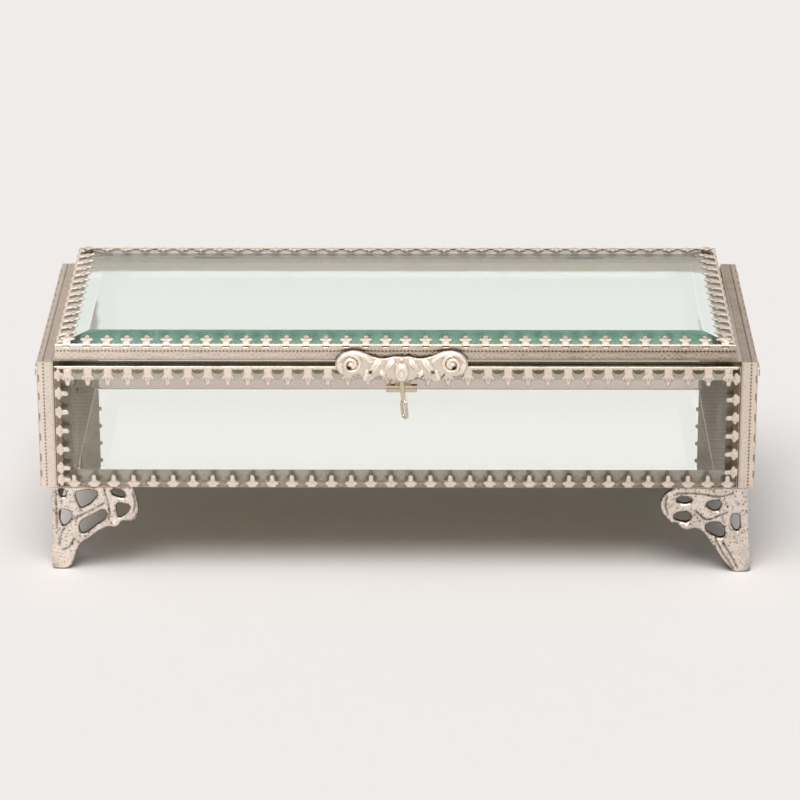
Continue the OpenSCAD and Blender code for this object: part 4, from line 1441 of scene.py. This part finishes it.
@dataclass
class Latch:
    """Bent wire latch: an eye on its pin, a flattened shank and a long pull loop, in mm."""

    finish: bpy.types.Material
    node: str = "latch_wire"
    # At rest the wire leans back by this many degrees
    lean: float = 8.49
    # Shank: its ends under the pin, its half width and half thickness, its taper to the loop
    shank_top: float = -0.9
    shank_end: float = -8.6
    shank_half: tuple[float, float] = (0.85, 0.62)
    shank_points: int = 24
    taper_half: tuple[float, float] = (0.66, 0.8)
    taper_length: float = 1.6
    # Eye round the pin: its radius, its half thickness, points round it
    eye: float = 0.85
    eye_wire: float = 0.4
    eye_points: int = 28
    # Pull loop: its half width, straight sides, wire, turn in degrees and lap on the shank
    loop_half: float = 1.3
    loop_straight: float = 3.4
    loop_wire: float = 0.58
    loop_turn: float = 35.0
    loop_lap: float = 0.5
    # Below the boss the shank leans to the right by this many degrees
    side_lean: float = 5.5
    lean_start: float = -1.2
    sides: int = 20

    def tube(self, path: np.ndarray, wide: np.ndarray, thick: np.ndarray, closed: bool) -> Solid:
        """Sweeps an oval section along a path.

        Args:
            path: Points of the path.
            wide: Half width of the section at each point, across the plane of the path.
            thick: Half thickness at each point, in that plane.
            closed: Whether the path ends where it starts.

        Returns:
            The closed tube.
        """
        n = len(path)
        way = np.roll(path, -1, 0) - np.roll(path, 1, 0) if closed else np.gradient(path, axis=0)
        way /= np.linalg.norm(way, axis=1)[:, None]
        across = np.tile((1.0, 0.0, 0.0), (n, 1))
        inward = np.cross(way, across)
        inward /= np.linalg.norm(inward, axis=1)[:, None]
        angles = np.linspace(0, 2 * math.pi, self.sides, endpoint=False)
        rings = (path[:, None] + across[:, None] * (np.cos(angles)[None, :, None] * wide[:, None, None])
                 + inward[:, None] * (np.sin(angles)[None, :, None] * thick[:, None, None]))
        k = self.sides
        last = n if closed else n - 1
        faces: list[Sequence[int]] = [
            (i * k + j, i * k + (j + 1) % k, ((i + 1) % n) * k + (j + 1) % k, ((i + 1) % n) * k + j)
            for i in range(last) for j in range(k)]
        if not closed:
            faces += [range(k), range((n - 1) * k, n * k)]
        solid = Solid()
        solid.add(rings.reshape(-1, 3), faces)
        return solid

    def loop_path(self) -> np.ndarray:
        """The long ring of the pull loop, in the y-z plane, with its top at z = 0.

        Returns:
            Points round the ring.
        """
        half, straight = self.loop_half, self.loop_straight
        turn = np.linspace(0, math.pi, 17)
        top = np.column_stack([np.cos(turn) * half, np.sin(turn) * half - half])
        low = np.column_stack([-np.cos(turn) * half, -np.sin(turn) * half - half - straight])
        ring = np.vstack([top, low])
        return np.column_stack([np.zeros(len(ring)), ring])

    def make(self) -> None:
        """Builds the latch round its joint and puts it in its node's place."""
        joint = next(j for j in frame["joints"] if j["child"] == Body.LATCH.value)
        pivot = np.array(joint["pos_m"]) / MM
        turn = np.linspace(0, 2 * math.pi, self.eye_points, endpoint=False)
        eye = np.column_stack([np.zeros(len(turn)), np.cos(turn) * self.eye, np.sin(turn) * self.eye])
        wide, thick = self.shank_half
        made = self.tube(eye, np.full(len(turn), wide), np.full(len(turn), self.eye_wire), True)
        drop = np.linspace(self.shank_top, self.shank_end, self.shank_points)
        slim = np.interp(drop, [self.shank_end, self.shank_end + self.taper_length, 0],
                         [*self.taper_half, wide])
        path = np.column_stack([np.zeros((len(drop), 2)), drop])
        made.join(self.tube(path, slim, np.full(len(drop), thick), False))
        ring = self.loop_path()
        loop = self.tube(ring, np.full(len(ring), self.loop_wire), np.full(len(ring), self.loop_wire), True)
        spin = np.array(Matrix.Rotation(math.radians(self.loop_turn), 3, "Z"))
        made.join(loop.mapped(lambda p: p @ spin.T + (0, 0, self.shank_end + self.loop_lap)))
        tip = np.array(Matrix.Rotation(math.radians(-self.lean), 3, "X"))
        slope = math.tan(math.radians(self.side_lean))

        def hang(p: np.ndarray) -> np.ndarray:
            """Leans the shank to the right and hangs the wire on its pin."""
            aside = np.clip(self.lean_start - p[:, 2], 0, None) * slope
            return (p + np.column_stack([aside, np.zeros((len(p), 2))])) @ tip.T + pivot

        piece = made.mapped(hang).build(self.node + "_bent", crease=60)
        place_piece(piece, self.node, Body.LATCH, self.finish)


@dataclass
class Fittings:
    """The cast, rolled and bent metal parts and the panes, kept or rebuilt."""

    # Feet of each side: how far their tips splay sideways, how far out they stand, how much wider
    feet: tuple[tuple[str, float, float, float], ...] = (("left", 0.5, 0.2, 0.5), ("right", 1.9, 0.0, 0.0))
    # How far the tips splay forwards or backwards; the front right one splays most
    splay: float = 1.0
    front_right_splay: float = 3.0

    def make(self) -> None:
        """Builds or dresses every part that isn't a stamped strip."""
        cast, rolled, wire = (finish.material() for finish in (CAST, ROLLED, WIRE))
        glass, lid_glass = PANE_GLASS.material(), LID_GLASS.material()
        for pane in Pane:
            dress_node(pane.value[0], lid_glass if pane is Pane.LID else glass)
        dress_node("bottom_mirror", SilveredMirror().material(), bevel=0.4)
        dress_node("base_tray", rolled)
        dress_node("back_top_rail", rolled, bevel=0.12, shrink=0.02)
        for side, sideways, out, wider in self.feet:
            for end in ("front", "back"):
                along = self.front_right_splay if (side, end) == ("right", "front") else self.splay
                Foot(f"foot_{end}_{side}", sideways, along, cast, out, wider).make()
        Ornament(BRIGHTENED_CAST.material()).make()
        Latch(wire).make()
        dress_node("latch_pin", wire)
        dress_node("catch_bar", wire, bevel=0.15)
        for side in ("left", "right"):
            dress_node(f"hinge_{side}_body_leaf", rolled, bevel=0.1)
            dress_node(f"hinge_{side}_lid_leaf", rolled, bevel=0.1)
            dress_node(f"hinge_{side}_pin", wire, bevel=0.15)


@dataclass
class Studio:
    """Pale floor, one broad key light, and a pale surround that metal and glass reflect."""

    floor_colour: str = "#F0ECE8"
    floor_radius: float = 10.0
    floor_sides: int = 96
    # Key light: its height and side in degrees, how broad it looks, and its strength
    key_height: float = 70.0
    key_side: float = -20.0
    key_angle: float = 50.0
    key_strength: float = 2.31
    # Fill for matt surfaces, and how much bluer than grey it is
    fill: float = 0.31
    fill_blue: float = 1.06
    # Sine of the height, brightness there, and how cream it is: sweep, cream wall, gap, light box
    surround: tuple[tuple[float, float, float], ...] = (
        (0.0, 1.0, 1.0), (0.375, 1.0, 1.0), (0.4, 0.68, 4.5), (0.45, 0.42, 4.5), (0.54, 0.3, 1.0),
        (0.63, 0.6, 1.0), (0.69, 0.65, 1.0), (0.74, 2.0, 1.0), (0.86, 2.0, 1.0), (0.9, 0.6, 1.0),
        (1.0, 0.6, 1.0))
    warmth: tuple[float, float, float] = (1.0, 0.957, 0.945)
    # Light is guided along the lid's glass by some sixteen inner reflections
    bounces: int = 40

    def make_floor(self) -> None:
        """Lays the pale floor, which fades into the surround."""
        mesh = bpy.data.meshes.new("floor")
        sides, radius = self.floor_sides, self.floor_radius
        around = [2 * math.pi * i / sides for i in range(sides)]
        mesh.from_pydata([(radius * math.cos(a), radius * math.sin(a), 0) for a in around], [],
                         [range(sides)])
        floor = bpy.data.objects.new("floor", mesh)
        bpy.context.scene.collection.objects.link(floor)
        material, tree = fresh_material("matt_paper_sweep")
        shader = add_node(tree, "ShaderNodeBsdfPrincipled",
                          {"Base Color": linear(self.floor_colour), "Roughness": 0.95,
                           "Specular IOR Level": 0.0})
        add_node(tree, "ShaderNodeOutputMaterial", links={"Surface": shader.outputs[0]})
        mesh.materials.append(material)
        floor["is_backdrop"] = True

    def make_surround(self) -> None:
        """Sets the world: a plain fill for matt surfaces, the pale surround for the rest."""
        world = bpy.data.worlds.new("studio")
        world.use_nodes = True
        tree = world.node_tree
        tree.nodes.clear()
        way = add_node(tree, "ShaderNodeTexCoord").outputs["Generated"]
        height = add_node(tree, "ShaderNodeSeparateXYZ", links={0: way}).outputs["Z"]
        # The ramp holds half the brightness, because its colours stop at 1
        stops = [(place, (*(value / 2 * (1 - cream * (1 - w)) for w in self.warmth), 1.0))
                 for place, value, cream in self.surround]
        ramp = add_node(tree, "ShaderNodeValToRGB", links={"Fac": height}, stops=stops).outputs["Color"]
        seen = add_node(tree, "ShaderNodeBackground", {"Strength": 2.0}, {"Color": ramp}).outputs[0]
        fill = add_node(tree, "ShaderNodeBackground",
                        {"Color": (self.fill, self.fill, self.fill * self.fill_blue, 1.0)}).outputs[0]
        path = add_node(tree, "ShaderNodeLightPath").outputs
        either = add_node(tree, "ShaderNodeMath", {"operation": "MAXIMUM"},
                          {0: path["Is Camera Ray"], 1: path["Is Glossy Ray"]}).outputs[0]
        clear = add_node(tree, "ShaderNodeMath", {"operation": "MAXIMUM"},
                         {0: either, 1: path["Is Transmission Ray"]}).outputs[0]
        both = add_node(tree, "ShaderNodeMixShader", links={0: clear, 1: fill, 2: seen}).outputs[0]
        add_node(tree, "ShaderNodeOutputWorld", links={"Surface": both})
        bpy.context.scene.world = world

    def make_key(self) -> None:
        """Hangs the broad key light high in front of the box."""
        light = bpy.data.lights.new("key", "SUN")
        light.energy = self.key_strength
        light.angle = math.radians(self.key_angle)
        key = bpy.data.objects.new("key", light)
        height, side = math.radians(self.key_height), math.radians(self.key_side)
        level = math.cos(height)
        toward = Vector((level * math.sin(side), -level * math.cos(side), math.sin(height)))
        key.rotation_euler = toward.to_track_quat("Z", "Y").to_euler()
        bpy.context.scene.collection.objects.link(key)

    def make(self) -> None:
        """Builds the whole studio and sets how the picture is shown."""
        self.make_floor()
        self.make_surround()
        self.make_key()
        scene = bpy.context.scene
        scene.view_settings.view_transform = "Standard"
        scene.cycles.max_bounces = self.bounces
        scene.cycles.transmission_bounces = self.bounces
        scene.cycles.glossy_bounces = self.bounces
        LOG.info("studio: floor, surround and key light")


@dataclass
class Viewpoint:
    """The camera, from a fit of a pinhole to the photograph's corners of the box."""

    # Degrees above the table, to the right of the front, and of turn round the line of sight
    height: float = 20.851
    side: float = 0.2897
    roll: float = -0.0391
    # From the target, in mm, as the target's place is
    distance: float = 1438.75
    # Focal length in pixels of the 800 pixel wide picture
    focal: float = 3918.83
    picture: float = 800.0
    sensor: float = 36.0
    target: tuple[float, float, float] = (0.7402, 0.0, 45.3505)

    def make(self) -> None:
        """Puts the camera in the scene."""
        e, a, roll = (math.radians(v) for v in (self.height, self.side, self.roll))
        back = Vector((math.sin(a) * math.cos(e), -math.cos(a) * math.cos(e), math.sin(e)))
        right = (-back).cross(Vector((0, 0, 1))).normalized()
        up = right.cross(-back)
        cos, sin = math.cos(roll), math.sin(roll)
        right, up = cos * right + sin * up, -sin * right + cos * up
        data = bpy.data.cameras.new("camera")
        data.sensor_width = self.sensor
        data.lens = self.focal / self.picture * self.sensor
        data.clip_start = 0.01
        data.clip_end = 100
        camera = bpy.data.objects.new("camera", data)
        turn = Matrix((right, up, back)).transposed().to_4x4()
        camera.matrix_world = Matrix.Translation((Vector(self.target) + back * self.distance) * MM) @ turn
        bpy.context.scene.collection.objects.link(camera)
        bpy.context.scene.camera = camera


def write_sizes() -> None:
    """Works out the box of the CAD model and that of the dressed one."""
    boxes = {"cad": CAD_BOX, "visual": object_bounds()}
    sizes = {name: [[round(float(v), 6) for v in corner] for corner in box] for name, box in boxes.items()}


def main() -> None:
    """Builds the camera, the studio and every piece of the box in order."""
    logging.basicConfig(level=logging.INFO, format="%(name)s %(message)s")
    Viewpoint().make()
    Studio().make()
    Fittings().make()
    Binding().make()
    write_sizes()


if __name__ == "__main__":
    main()
